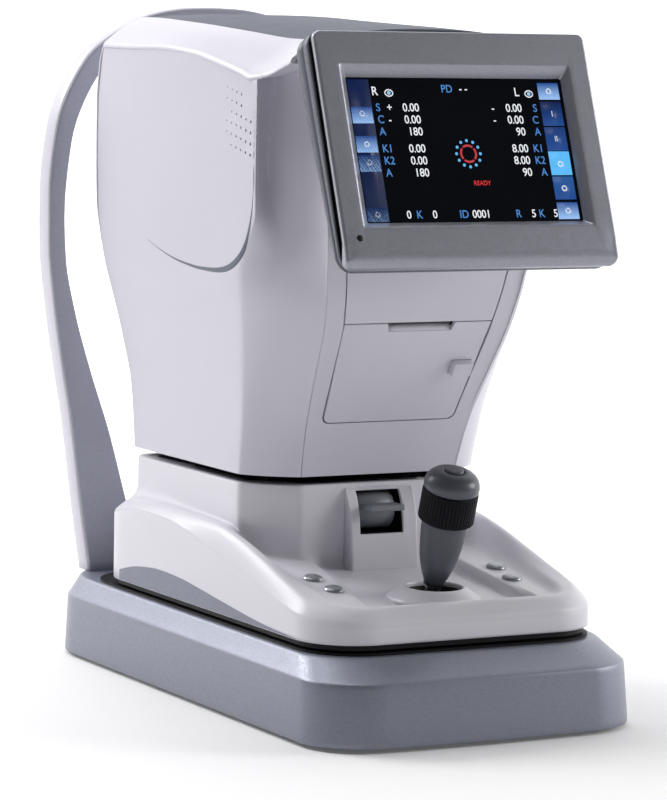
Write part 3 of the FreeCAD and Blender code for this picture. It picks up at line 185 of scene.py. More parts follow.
def face_outward(piece, centre):
    """Turns an open sheet's normals away from a point, given in the row frame."""
    mesh = piece.data
    centre = Vector(centre) * MM
    outward = sum(polygon.area * (1 if polygon.normal.dot(polygon.center - centre) > 0 else -1)
                  for polygon in mesh.polygons)
    if outward < 0:
        mesh.flip_normals()


def thicken(piece, centre, thickness=SKIN, round_edge=0.35):
    """Gives a sheet its wall, on the side towards a point, and eases its edges."""
    face_outward(piece, centre)
    wall = piece.modifiers.new("wall", "SOLIDIFY")
    wall.thickness = thickness * MM
    wall.offset = -1
    wall.use_even_offset = False
    if round_edge:
        ease_edges(piece, round_edge)


def ease_edges(piece, radius, segments=2, angle=35):
    """A small radius along the sharp edges, with flat faces kept flat."""
    rounding = piece.modifiers.new("round", "BEVEL")
    rounding.width = radius * MM
    rounding.segments = segments
    rounding.limit_method = "ANGLE"
    rounding.angle_limit = math.radians(angle)
    rounding.harden_normals = True


def close_rings(piece, columns, rows):
    """Fills the rings of a grid piece that are listed by their row number."""
    work = bmesh.new()
    work.from_mesh(piece.data)
    work.verts.ensure_lookup_table()
    for row in rows:
        work.faces.new(work.verts[row * columns:(row + 1) * columns])
    bmesh.ops.recalc_face_normals(work, faces=work.faces)
    work.to_mesh(piece.data)
    work.free()


def tidy_normals(piece):
    """Makes a closed mesh's faces all look outwards."""
    work = bmesh.new()
    work.from_mesh(piece.data)
    bmesh.ops.remove_doubles(work, verts=work.verts, dist=0.005 * MM)
    bmesh.ops.recalc_face_normals(work, faces=work.faces)
    work.to_mesh(piece.data)
    work.free()


def plate(name, outline, low, high, look, body, frame_matrix=UPRIGHT, radius=0.5, segments=3):
    """An outline in the frame's X-Z plane, as thick as from y low to y high, with eased edges."""
    count = len(outline)
    vertices = [(x, y, z) for y in (low, high) for x, z in outline]
    faces = [tuple(range(count)), tuple(reversed(range(count, 2 * count)))]
    for index in range(count):
        following = (index + 1) % count
        faces.append((index, following, count + following, count + index))
    piece = piece_from(name, vertices, faces, look, body, frame_matrix)
    tidy_normals(piece)
    if radius:
        ease_edges(piece, radius, segments)
    return piece


def lathe(name, profile, look, body, frame_matrix=UPRIGHT, segments=64, edges=0.0, axis="Z"):
    """A profile of (radius, height) points turned about the frame's own axis; ends on the axis close it."""
    vertices, rings = [], []
    for radius, height in profile:
        if radius < TINY:
            rings.append([len(vertices)])
            vertices.append((0, 0, height))
            continue
        rings.append(list(range(len(vertices), len(vertices) + segments)))
        for step in range(segments):
            angle = 2 * math.pi * step / segments
            vertices.append((radius * math.cos(angle), radius * math.sin(angle), height))
    if axis == "Y":
        vertices = [(x, z, -y) for x, y, z in vertices]
    if axis == "X":
        vertices = [(z, y, -x) for x, y, z in vertices]
    faces = []
    for lower, upper in zip(rings, rings[1:]):
        for step in range(segments):
            after = (step + 1) % segments
            corners = [lower[step % len(lower)], lower[after % len(lower)],
                       upper[after % len(upper)], upper[step % len(upper)]]
            faces.append(tuple(dict.fromkeys(corners)))
    piece = piece_from(name, vertices, faces, look, body, frame_matrix)
    tidy_normals(piece)
    if edges:
        ease_edges(piece, edges)
    return piece


def rounded_loop(half_width, low, high, low_radius, high_radius=None, corner=10, side=6):
    """Points round a rectangle with rounded corners, starting at the middle of its low side."""
    high_radius = low_radius if high_radius is None else high_radius
    centres = ((half_width - low_radius, low + low_radius, low_radius, -90),
               (half_width - high_radius, high - high_radius, high_radius, 0),
               (-half_width + high_radius, high - high_radius, high_radius, 90),
               (-half_width + low_radius, low + low_radius, low_radius, 180))
    arcs = []
    for x, y, radius, start in centres:
        angles = np.radians(spread(start, start + 90, corner + 1))
        arcs.append([(x + radius * math.cos(angle), y + radius * math.sin(angle)) for angle in angles])
    points = []
    for index, arc in enumerate(arcs):
        points.extend(arc)
        following = arcs[(index + 1) % 4][0]
        for step in range(1, side):
            points.append((blend(arc[-1][0], following[0], step / side),
                           blend(arc[-1][1], following[1], step / side)))
    return points


def cut_away(piece, name, vertices, faces, solver="EXACT"):
    """Takes a closed cutter, in the row frame, out of a piece."""
    mesh = bpy.data.meshes.new(name)
    mesh.from_pydata([tuple(Vector(vertex) * MM) for vertex in vertices], [], faces)
    work = bmesh.new()
    work.from_mesh(mesh)
    bmesh.ops.recalc_face_normals(work, faces=work.faces)
    work.to_mesh(mesh)
    work.free()
    cutter = bpy.data.objects.new(name, mesh)
    bpy.context.scene.collection.objects.link(cutter)
    cutting = piece.modifiers.new(name, "BOOLEAN")
    cutting.operation = "DIFFERENCE"
    cutting.solver = solver
    cutting.object = cutter
    fix_shape(piece)
    bpy.data.objects.remove(cutter)


def fix_shape(piece):
    """Turns a piece's modifiers into its mesh."""
    bpy.context.view_layer.update()
    shaped = piece.evaluated_get(bpy.context.evaluated_depsgraph_get())
    mesh = bpy.data.meshes.new_from_object(shaped)
    piece.modifiers.clear()
    piece.data = mesh


def bar(radius, length, frame_matrix, segments=32):
    """A closed round bar along the frame's Z axis from minus to plus half its length, for cutting with."""
    vertices = []
    for end in (-length / 2, length / 2):
        for step in range(segments):
            angle = 2 * math.pi * step / segments
            point = Vector((radius * math.cos(angle), radius * math.sin(angle), end))
            vertices.append(tuple(frame_matrix @ point))
    faces = [tuple(range(segments)), tuple(range(segments, 2 * segments))]
    faces += [(step, (step + 1) % segments, segments + (step + 1) % segments, segments + step)
              for step in range(segments)]
    return vertices, faces


def block(x, y, z, frame_matrix=UPRIGHT):
    """A closed box between pairs of limits, for cutting with."""
    vertices = [tuple(frame_matrix @ Vector((a, b, c))) for a in x for b in y for c in z]
    faces = [(0, 1, 3, 2), (4, 5, 7, 6), (0, 1, 5, 4), (2, 3, 7, 6), (0, 2, 6, 4), (1, 3, 7, 5)]
    return vertices, faces


# ---------------------------------------------------------------------------------------------------------
# Finishes
# ---------------------------------------------------------------------------------------------------------

def new_look(name):
    """A node material; returns it with its nodes, links and main shader."""
    look = bpy.data.materials.new(name)
    look.use_nodes = True
    return look, look.node_tree.nodes, look.node_tree.links, look.node_tree.nodes["Principled BSDF"]


def noise(nodes, links, scale, detail=4.0, kind="ShaderNodeTexNoise"):
    """A noise on the object's own coordinates, so that it stays on the piece; returns its value socket."""
    place = nodes.new("ShaderNodeTexCoord")
    texture = nodes.new(kind)
    texture.inputs["Scale"].default_value = scale
    if kind == "ShaderNodeTexNoise":
        texture.inputs["Detail"].default_value = detail
    links.new(place.outputs["Object"], texture.inputs["Vector"])
    return texture.outputs["Fac" if kind == "ShaderNodeTexNoise" else "Distance"]


def graded(nodes, links, source, low, high):
    """Maps a 0 to 1 value to a range."""
    mapping = nodes.new("ShaderNodeMapRange")
    mapping.inputs["To Min"].default_value = low
    mapping.inputs["To Max"].default_value = high
    links.new(source, mapping.inputs["Value"])
    return mapping.outputs["Result"]


def tinted(nodes, links, source, first, second):
    """A colour between two, by a 0 to 1 value."""
    ramp = nodes.new("ShaderNodeValToRGB")
    ramp.color_ramp.elements[0].color = (*first, 1)
    ramp.color_ramp.elements[1].color = (*second, 1)
    ramp.color_ramp.elements[0].position = 0.3
    ramp.color_ramp.elements[1].position = 0.7
    links.new(source, ramp.inputs["Fac"])
    return ramp.outputs["Color"]


def shade(colour, factor):
    """A colour made lighter or darker."""
    return tuple(min(1.0, channel * factor) for channel in colour)


def raised(nodes, links, shader, source, depth, strength):
    """Fine relief on a shader, depth in millimetres."""
    bump = nodes.new("ShaderNodeBump")
    bump.inputs["Distance"].default_value = depth * MM
    bump.inputs["Strength"].default_value = strength
    links.new(source, bump.inputs["Height"])
    links.new(bump.outputs["Normal"], shader.inputs["Normal"])


def moulded(name, colour, roughness, spread_share=0.03, texture_scale=900.0, depth=0.05, strength=0.12,
            coat=0.0, specular=0.5):
    """Moulded plastic or paint over it: faint mottling, a fine surface texture and uneven gloss."""
    look, nodes, links, shader = new_look(name)
    broad = noise(nodes, links, 9.0, 3.0)
    colour_out = tinted(nodes, links, broad, shade(colour, 1 - spread_share), shade(colour, 1 + spread_share))
    links.new(colour_out, shader.inputs["Base Color"])
    patches = noise(nodes, links, 55.0, 6.0)
    links.new(graded(nodes, links, patches, roughness * 0.82, roughness * 1.18), shader.inputs["Roughness"])
    fine = noise(nodes, links, texture_scale, 2.0)
    raised(nodes, links, shader, fine, depth, strength)
    shader.inputs["Specular IOR Level"].default_value = specular
    if coat:
        shader.inputs["Coat Weight"].default_value = coat
        shader.inputs["Coat Roughness"].default_value = 0.12
    return look


def metal_paint(name, colour, roughness, flake_scale=1500.0, flake_depth=0.06, flake_strength=0.12,
                metal=0.55):
    """Metallic paint: flakes of differing brightness and tilt under a thin clear coat."""
    look, nodes, links, shader = new_look(name)
    place = nodes.new("ShaderNodeTexCoord")
    flakes = nodes.new("ShaderNodeTexVoronoi")
    flakes.inputs["Scale"].default_value = flake_scale
    links.new(place.outputs["Object"], flakes.inputs["Vector"])
    split = nodes.new("ShaderNodeSeparateColor")
    links.new(flakes.outputs["Color"], split.inputs["Color"])
    links.new(tinted(nodes, links, split.outputs["Red"], shade(colour, 0.96), shade(colour, 1.04)),
              shader.inputs["Base Color"])
    links.new(graded(nodes, links, split.outputs["Green"], roughness * 0.75, roughness * 1.25),
              shader.inputs["Roughness"])
    raised(nodes, links, shader, split.outputs["Blue"], flake_depth, flake_strength)
    shader.inputs["Metallic"].default_value = metal
    shader.inputs["Coat Weight"].default_value = 0.25
    shader.inputs["Coat Roughness"].default_value = 0.25
    return look


def machined(name, colour, roughness, strength=0.25):
    """Turned or drawn metal with fine lines from its making."""
    look, nodes, links, shader = new_look(name)
    place = nodes.new("ShaderNodeTexCoord")
    stretch = nodes.new("ShaderNodeMapping")
    stretch.inputs["Scale"].default_value = (20.0, 900.0, 900.0)
    lines = nodes.new("ShaderNodeTexNoise")
    lines.inputs["Scale"].default_value = 1.0
    lines.inputs["Detail"].default_value = 5.0
    links.new(place.outputs["Object"], stretch.inputs["Vector"])
    links.new(stretch.outputs["Vector"], lines.inputs["Vector"])
    links.new(tinted(nodes, links, lines.outputs["Fac"], shade(colour, 0.85), shade(colour, 1.1)),
              shader.inputs["Base Color"])
    links.new(graded(nodes, links, lines.outputs["Fac"], roughness * 0.7, roughness * 1.3),
              shader.inputs["Roughness"])
    raised(nodes, links, shader, lines.outputs["Fac"], 0.03, strength)
    shader.inputs["Metallic"].default_value = 1.0
    return look


def glass(name, colour, roughness, specular):
    """Dark glass with faint streaks in its gloss."""
    look, nodes, links, shader = new_look(name)
    streaks = noise(nodes, links, 30.0, 3.0)
    links.new(graded(nodes, links, streaks, roughness, roughness * 2.2), shader.inputs["Roughness"])
    links.new(tinted(nodes, links, streaks, colour, shade(colour, 1.3)), shader.inputs["Base Color"])
    shader.inputs["Specular IOR Level"].default_value = specular
    return look


WHITE = moulded("shell_white", (0.63, 0.615, 0.69), 0.38, 0.012, 700.0, 0.03, 0.10, coat=0.15)
STAGE_WHITE = moulded("stage_white", (0.73, 0.72, 0.78), 0.42, 0.012, 700.0, 0.03, 0.08, coat=0.1)
BASE_GREY = metal_paint("base_grey", (0.26, 0.275, 0.335), 0.48, flake_strength=0.22)
ARCH_GREY = metal_paint("arch_grey", (0.36, 0.37, 0.43), 0.5, flake_strength=0.1, metal=0.3)
TOP_GREY = moulded("top_grey", (0.14, 0.15, 0.185), 0.65, 0.02, 900.0, 0.05, 0.15, specular=0.15)
INSERT_GREY = metal_paint("insert_grey", (0.20, 0.21, 0.27), 0.5, flake_strength=0.15, metal=0.3)
BEZEL_GREY = metal_paint("bezel_grey", (0.33, 0.335, 0.385), 0.40, flake_strength=0.06, metal=0.6)
HOUSING_GREY = metal_paint("housing_grey", (0.12, 0.125, 0.155), 0.6, flake_strength=0.06, metal=0.3)
STICK_GREY = moulded("stick_grey", (0.075, 0.08, 0.10), 0.34, 0.04, 1400.0, 0.05, 0.15)
CONTROL_GREY = moulded("control_grey", (0.22, 0.235, 0.27), 0.38, 0.04, 1100.0, 0.05, 0.2)
RING_RUBBER = moulded("ring_rubber", (0.006, 0.006, 0.010), 0.5, 0.1, 1800.0, 0.08, 0.35, specular=0.12)
BLACK_PLASTIC = moulded("black_plastic", (0.008, 0.008, 0.010), 0.5, 0.1, 1200.0, 0.05, 0.25, specular=0.2)
BUTTON_SILVER = metal_paint("button_silver", (0.36, 0.37, 0.41), 0.34, flake_strength=0.03, metal=0.6)
SOFT_GREY = moulded("soft_grey", (0.20, 0.21, 0.24), 0.75, 0.05, 420.0, 0.25, 0.6, specular=0.3)
RUBBER = moulded("foot_rubber", (0.02, 0.02, 0.022), 0.7, 0.1, 800.0, 0.1, 0.4)
STEEL = machined("steel", (0.52, 0.53, 0.55), 0.28)
ZINC_STEEL = machined("zinc_steel", (0.42, 0.43, 0.46), 0.42)
CAST_ALLOY = machined("cast_alloy", (0.36, 0.37, 0.39), 0.5, 0.5)
BRASS = machined("brass", (0.55, 0.39, 0.14), 0.3)
BRONZE = machined("bronze", (0.38, 0.22, 0.10), 0.4)
DISPLAY_BLACK = glass("display_black", (0.004, 0.0045, 0.007), 0.05, 0.1)
OPTIC_GLASS = glass("optic_glass", (0.012, 0.018, 0.03), 0.03, 0.5)
PAPER = moulded("paper", (0.80, 0.79, 0.76), 0.85, 0.02, 300.0, 0.05, 0.3)
ACCENT = moulded("accent", (0.075, 0.095, 0.14), 0.35, 0.04, 900.0, 0.02, 0.1)


# ---------------------------------------------------------------------------------------------------------
# Head shell: curves that its covers share
# ---------------------------------------------------------------------------------------------------------

HEAD_LOW = 149.9
HEAD_INSIDE = (0, 30, 290)                # a point well inside the head
OPTIC_Z = 340.0

# The front seam, where the front panel meets a side: height against depth and half width.
seam_y = smooth_curve((149.7, -61.5), (170, -67.8), (185.8, -74.1), (219.1, -93.0), (252.4, -111.9),
                      (280, -121), (312, -126), (350, -125.5), (392, -117.5), (412, -114), (440, -113))
seam_x = smooth_curve((149.7, 56.3), (190, 60), (220, 64), (250, 67.5), (278, 71), (312, 74), (440, 73))
# The flank's half width and the soft crease at its front edge.
flank_x = smooth_curve((149.7, 87), (186, 89.3), (225, 93.8), (256, 98.3), (276, 101.6), (296, 103.4),
                       (330, 104), (440, 104))
crease_y = smooth_curve((149.7, -33), (186, -41), (225, -49), (256, -55.5), (290, -63), (340, -70),
                        (440, -70))
# The rear edge of the flank.
rear_y = smooth_curve((149.7, 131), (191, 131.5), (230, 139), (262, 148), (293, 155.5), (317, 161.5),
                      (351, 163), (385, 163), (413, 158.5), (428, 152.5), (440, 147))
# The shoulder where the flank turns into the roof, and the seam between the roof and the grey top cover.
shoulder_z = smooth_curve((-114, 421), (-100, 416.5), (-86, 411.5), (-74, 409.5), (-60, 412.6), (-31, 418),
                          (12.6, 424.4), (58, 427), (105, 426.6), (147, 427))
roof_z = smooth_curve((-114, 430.5), (-80, 431), (-16, 435), (58, 439.6), (135, 442.6), (155, 442.2))
roof_edge_x = smooth_curve((-114, 96), (-96, 97.5), (-84, 100.5), (-70, 104), (163, 104))
crown_z = smooth_curve((-118, 438.4), (-79, 440.2), (-12, 442.2), (58, 444.3), (98, 445.6), (140, 445.4),
                       (155, 444))
TOP_HALF = 75.0

WING_FRONT = -86.0       # front edge of the raised panel on the flank
WING_LOW = 273.5         # its lower edge
WING_RADIUS = 50.0       # radius of its lower front corner


def inside_wing(y, z):
    """How far a point lies inside the raised panel's outline; negative outside."""
    across = np.maximum(WING_FRONT + WING_RADIUS - y, 0)
    down = np.maximum(WING_LOW + WING_RADIUS - z, 0)
    return WING_RADIUS - np.hypot(across, down)


def under_wing(y, z):
    """0 outside the raised panel to 1 on it; its edge is crisp at the upper front and soft elsewhere."""
    softness = 6.0 + 24 * ease((322 - z) / 45) + 45 * ease((y + 45) / 90)
    return ease((inside_wing(y, z) + softness * 0.35) / softness)


def side_x(y, z):
    """Half width of the head's side at a place: the flank, the hollowed front corner and the raised panel."""
    run = (crease_y(z) - y) / (crease_y(z) - seam_y(z))
    run = np.clip((run + np.sqrt(run * run + 0.004)) / 2, 0, 1)
    rounded = 0.55 * run + 0.45 * run ** 2.5
    hollow = 1 - (1 - run) ** 1.9
    corner = blend(rounded, hollow, ease((z - 258) / 60))
    lower = flank_x(z) - (flank_x(z) - seam_x(z)) * corner
    panel = 104.0 - 0.0001 * (z - 350) ** 2 - 0.00006 * (y - 40) ** 2
    return lower + (panel - lower) * under_wing(y, z)


def undercut(y, z):
    """How far the hollow corner reaches back behind the raised panel's front edge."""
    outside = max(0.0, -float(inside_wing(y, z)))
    return 18.0 * float(ease((z - 296) / 50)) * (1 - float(under_wing(y, z))) * math.exp(-outside / 14)


def flank_rows(y_top):
    """Heights of the grid's rows on the flank, finer on the raised panel, up to the roof's edge."""
    low = spread(HEAD_LOW, 258, 26)
    high = spread(258, y_top, 84)
    return joined_steps(low, high)


def head_side(side):
    """One side of the head: flank, raised panel, hollowed front corner and the roof that overhangs it."""
    shares = joined_steps(spread(0, 0.13, 26), spread(0.13, 0.26, 44), spread(0.26, 0.48, 36),
                          spread(0.48, 1, 36))
    edge_radius = 5.0
    rear_inset = 6.5
    columns = []
    for share in shares:
        y_top = blend(seam_y(412), rear_y(424) - rear_inset, share)
        shoulder = float(shoulder_z(y_top))
        edge = float(roof_edge_x(y_top))
        column = []
        foot_z = shoulder - edge_radius - 0.5
        for z in flank_rows(foot_z):
            y = blend(float(seam_y(z)), float(rear_y(z)) - rear_inset, share)
            column.append((float(side_x(y, z)), y + undercut(y, z), z))
        foot_x, foot_y = column[-1][0], column[-1][1]
        for rise in spread(0, 1, 8)[1:]:
            column.append((blend(foot_x, edge, rise), blend(foot_y, y_top, rise), foot_z + 0.5 * rise))
        seam_top = float(roof_z(y_top))
        slope = math.atan2(seam_top - shoulder, edge - TOP_HALF)
        for angle in spread(0, math.pi / 2 - slope, 8)[1:]:
            column.append((edge - edge_radius * (1 - math.cos(angle)), y_top,
                           shoulder - edge_radius * (1 - math.sin(angle))))
        start = column[-1]
        for step in range(1, 13):
            along = step / 12
            bulge = 1.8 * math.sin(math.pi * along)
            column.append((blend(start[0], TOP_HALF + SEAM, along), y_top,
                           blend(start[2], seam_top, along) + bulge))
        columns.append(column)
    grid = np.array(columns).transpose(1, 0, 2)
    grid[:, 0, 0] += SEAM if side < 0 else WIDE_SEAM
    grid[:, :, 0] *= side
    name = "head_side_right" if side > 0 else "head_side_left"
    piece = grid_piece(name, grid, WHITE, "head")
    thicken(piece, HEAD_INSIDE, SKIN)
    if side < 0:
        drill_speaker_holes(piece)
    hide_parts("right_cover" if side > 0 else "left_cover")
    return piece


def drill_speaker_holes(piece):
    """A slanted field of small holes in front of the speaker."""
    vertices, faces = [], []
    pitch = 7.0
    for column in range(6):
        for row in range(6):
            y = -74.5 + column * 6.6
            z = 392.6 - row * pitch + column * 1.4
            if column < 2 and row < 2:
                continue
            radius = blend(1.15, 0.55, column / 5)
            matrix = Matrix.Translation((-104, y, z)) @ Matrix.Rotation(math.pi / 2, 4, "Y")
            points, sides = bar(radius, 7, matrix, 10)
            faces.extend(tuple(corner + len(vertices) for corner in face) for face in sides)
            vertices.extend(points)
    cut_away(piece, "speaker_holes", vertices, faces, "FAST")


def swoosh():
    """The tapering dark inlay that follows the lower front corner of the raised panel."""
    spine = ((73.7, 295.5, 0.1), (58, 291.0, 0.5), (42.6, 287.3, 0.9), (27, 284.6, 1.3), (12, 283.0, 1.7),
             (-3, 281.9, 2.1), (-17, 281.8, 2.6), (-29, 282.2, 3.1), (-39, 283.3, 3.6), (-48, 285.6, 4.1),
             (-56, 289.2, 4.4), (-62.5, 293.6, 4.2), (-67, 298.2, 3.8), (-71, 304, 3.2), (-74.3, 311, 2.5),
             (-76.6, 318, 1.7), (-78.2, 325, 0.9), (-79.3, 333, 0.1))
    places = np.arange(len(spine))
    y_at = smooth_curve(*[(place, point[0]) for place, point in zip(places, spine)])
    z_at = smooth_curve(*[(place, point[1]) for place, point in zip(places, spine)])
    wide_at = smooth_curve(*[(place, point[2]) for place, point in zip(places, spine)])
    steps = spread(0, len(spine) - 1, 90)
    rows = []
    for share in spread(-0.5, 0.5, 7):
        row = []
        for step in steps:
            along = Vector((0, float(y_at(step + 0.05) - y_at(step - 0.05)),
                            float(z_at(step + 0.05) - z_at(step - 0.05)))).normalized()
            reach = share * float(wide_at(step))
            y = float(y_at(step)) - along.z * reach
            z = float(z_at(step)) + along.y * reach
            lift = 0.14 * (1 - (2 * share) ** 4)
            row.append((-float(side_x(y, z)) - 0.04 - lift, y, z))
        rows.append(row)
    piece = grid_piece("panel_inlay", rows, ACCENT, "head")
    thicken(piece, HEAD_INSIDE, 0.4, 0)


def front_point(x, z, proud=0.0):
    """A point of the front panel, which is slightly crowned across."""
    crown = 1.6 * (1 - (x / float(seam_x(z))) ** 2) * float(ease((z - 256) / 40))
    return (x, float(seam_y(z)) - crown - proud, z)


DOOR_LOW = 185.8
DOOR_TOP = 252.3
DOOR_CORNER = 5.0


def door_half(z):
    """Half width of the printer door's opening, or of the panel above it."""
    if z > DOOR_TOP:
        return 53.9 + 0.13 * (z - DOOR_TOP)
    half = blend(48.2, 53.9, (z - DOOR_LOW) / (DOOR_TOP - DOOR_LOW))
    rise = z - DOOR_LOW
    if rise < DOOR_CORNER:
        half += math.sqrt(max(0, DOOR_CORNER ** 2 - (DOOR_CORNER - max(rise, 0)) ** 2)) - DOOR_CORNER
    return half


def front_panel():
    """The fixed front: two strips beside the door and the block below it, in one sheet."""
    heights = joined_steps(spread(HEAD_LOW, DOOR_LOW - 0.5, 10),
                           DOOR_LOW - 0.5 + DOOR_CORNER * (1 - np.cos(spread(0, math.pi / 2, 7))),
                           spread(DOOR_LOW + DOOR_CORNER - 0.5, 432, 60))
    below = 10
    vertices, faces = [], []
    for side in (-1, 1):
        rows = []
        for z in heights:
            inner = door_half(max(z + 0.5, DOOR_LOW)) + 0.65
            outer = float(seam_x(z)) - SEAM
            rows.append([front_point(side * blend(outer, inner, share), z) for share in spread(0, 1, 9)])
        faces.extend(tuple(corner + len(vertices) for corner in face)
                     for face in grid_faces(len(rows), 9))
        vertices.extend(point for row in rows for point in row)
    rows = []
    for z in heights[:below]:
        inner = door_half(DOOR_LOW) + 0.65
        rows.append([front_point(x, z) for x in spread(-inner, inner, 25)])
    faces.extend(tuple(corner + len(vertices) for corner in face) for face in grid_faces(below, 25))
    vertices.extend(point for row in rows for point in row)
    panel = piece_from("front_panel_shell", vertices, faces, WHITE, "head")
    work = bmesh.new()
    work.from_mesh(panel.data)
    bmesh.ops.remove_doubles(work, verts=work.verts, dist=0.02 * MM)
    bmesh.ops.recalc_face_normals(work, faces=work.faces)
    work.to_mesh(panel.data)
    work.free()
    thicken(panel, HEAD_INSIDE, SKIN)
    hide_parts("front_panel")

    rows = []
    for z in spread(DOOR_TOP + 0.6, 432, 50):
        half = door_half(z) - 0.25
        rows.append([front_point(x, z) for x in spread(-half, half, 25)])
    upper = grid_piece("front_upper_panel", rows, WHITE, "head")
    thicken(upper, HEAD_INSIDE, SKIN)


def rear_cover():
    """The patient's side of the head, wrapped round both rear corners, with the window for the optics."""
    radius = 6.0
    under_roof = smooth_curve((412, 103.7), (422, 103.0), (427, 98.8), (433, 89.5), (440, 78.0))
    rows = []
    for z in joined_steps(spread(HEAD_LOW, 300, 34), spread(300, 440, 48)):
        half = min(float(flank_x(z)) - 0.3, float(under_roof(max(z, 412))))
        back = float(rear_y(z)) - 3.5 * float(ease((z - 435) / 5))
        start = back - 6.2
        row = []
        for angle in spread(0, math.pi / 2, 8):
            row.append((half - radius * (1 - math.cos(angle)), start + radius * math.sin(angle) + 0.1, z))
        flat = [((half - radius) * share, start + radius + 0.1 + 0.6 * (1 - share ** 2), z)
                for share in spread(1, -1, 45)[1:-1]]
        row += flat
        row += [(-x, y, height) for x, y, height in reversed(row[:8])]
        rows.append(row)
    piece = grid_piece("rear_cover_shell", rows, WHITE, "head")
    thicken(piece, HEAD_INSIDE, SKIN)
    window = Matrix.Translation((0, 160, OPTIC_Z)) @ Matrix.Rotation(math.pi / 2, 4, "X")
    cut_away(piece, "optic_window", *bar(34.6, 30, window, 64))
    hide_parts("rear_cover")


def top_cover():
    """The grey lid between the two roofs, crowned across, with a turned-down rim at front and rear."""
    half = TOP_HALF - SEAM
    shares = spread(-1, 1, 33)
    front = -114.5

    def crowned(y, share):
        """Height of the lid, a share of the way from its middle to its side."""
        return float(roof_z(y)) + (1 - abs(share) ** 2.6) * float(crown_z(y) - roof_z(y))

    rows = [[(half * share, front - 0.8, float(roof_z(front)) - 1.5) for share in shares],
            [(half * share, front - 0.7, crowned(front, share) - 0.8) for share in shares]]
    for y in joined_steps(spread(front, 140, 52), spread(140, 151, 6)):
        fall = 9 * float(ease((y - 138) / 15)) ** 2
        rows.append([(half * share, y, crowned(y, share) - fall) for share in shares])
    piece = grid_piece("top_cover_lid", rows, TOP_GREY, "head")
    thicken(piece, HEAD_INSIDE, SKIN)
    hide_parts("top_cover")


# ---------------------------------------------------------------------------------------------------------
# Printer door, its button
# ---------------------------------------------------------------------------------------------------------

def printer_door():
    """The hinged leaf with its key and the notch that the paper comes out of."""
    height = 76.4
    low, high = 48.0, 53.6
    corner = 5.0
    outline = []
    for side in (1, -1):
        run = []
        for angle in spread(-90, 0, 7):
            across = low - corner + corner * math.cos(math.radians(angle))
            up = corner + corner * math.sin(math.radians(angle))
            run.append((side * across, up))
        run.append((side * high, height))
        if side > 0:
            outline += run + [(27, height), (25.5, height - 6), (-20.5, height - 6), (-22, height)]
        else:
            outline += run[::-1]
    door = plate("printer_door_leaf", outline, 0, 3, WHITE, "printer_door", DOOR, 0.5)
    hole = block((33.1, 47.9), (-2, 5), (36.2, 47.0), DOOR)
    cut_away(door, "key_hole", *hole)
    notch = [[(blend(-20.4, 25.4, share), 0.5, height - 5.9) for share in spread(0, 1, 9)],
             [(blend(-21.3, 26.3, share), 5.0, height - 2.6) for share in spread(0, 1, 9)]]
    lip = grid_piece("paper_lip", notch, WHITE, "printer_door", DOOR)
    thicken(lip, (0, -40, 215), 0.8, 0)
    key_outline = rounded_loop(7.0, -5.0, 5.0, 0.8, corner=4, side=1)
    key = plate("door_key", [(x + 40.5, z + 41.6) for x, z in key_outline], -5, 2.6, WHITE,
                "door_button", DOOR, 0.7)
    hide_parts("door_button")
    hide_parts("printer_door")


# ---------------------------------------------------------------------------------------------------------
# Stage: the sloping control deck with its rails, and the pedestal under the head
# ---------------------------------------------------------------------------------------------------------

STAGE_HALF = 104.0
STAGE_FRONT, STAGE_REAR = -185.7, 152.0
STAGE_RADIUS = 40.0
STAGE_SKIRT = 61.0
PEDESTAL_TOP = 144.5

edge_z = smooth_curve((-186, 72.5), (-178, 73), (-165, 74.5), (-154, 76.5), (-127, 81), (-99, 87), (-71, 93),
                      (-42, 99), (-12, 105), (18, 110), (41, 112.5), (72, 113), (96, 111.5), (120, 107.7),
                      (148, 103.5), (153, 103))
crest_z = smooth_curve((-186, 81.5), (-165, 83.5), (-128, 91.7), (-90, 102), (-51, 112), (-24, 116.5),
                       (10, 118), (60, 119), (100, 116), (130, 111.5), (153, 107))
dish_half = smooth_curve((-175, 62), (-159, 55), (-127, 49), (-95, 45), (-61, 42))


def stage_outline():
    """The stage cover's plan, from the middle of its front round to the middle of its rear."""
    points = [(x, STAGE_FRONT) for x in spread(0, STAGE_HALF - STAGE_RADIUS, 15)]
    for angle in np.radians(spread(-90, 0, 23)[1:]):
        points.append((STAGE_HALF - STAGE_RADIUS * (1 - math.cos(angle)),
                       STAGE_FRONT + STAGE_RADIUS * (1 + math.sin(angle))))
    points += [(STAGE_HALF, y) for y in spread(STAGE_FRONT + STAGE_RADIUS, STAGE_REAR - STAGE_RADIUS, 45)[1:]]
    for angle in np.radians(spread(0, 90, 17)[1:]):
        points.append((STAGE_HALF - STAGE_RADIUS * (1 - math.cos(angle)),
                       STAGE_REAR - STAGE_RADIUS * (1 - math.sin(angle))))
    points += [(x, STAGE_REAR) for x in spread(STAGE_HALF - STAGE_RADIUS, 0, 11)[1:]]
    return points


def softened_run(start, end, count):
    """Evenly spaced points after start, up to end."""
    return [(blend(start[0], end[0], share), blend(start[1], end[1], share))
            for share in spread(0, 1, count + 1)[1:]]


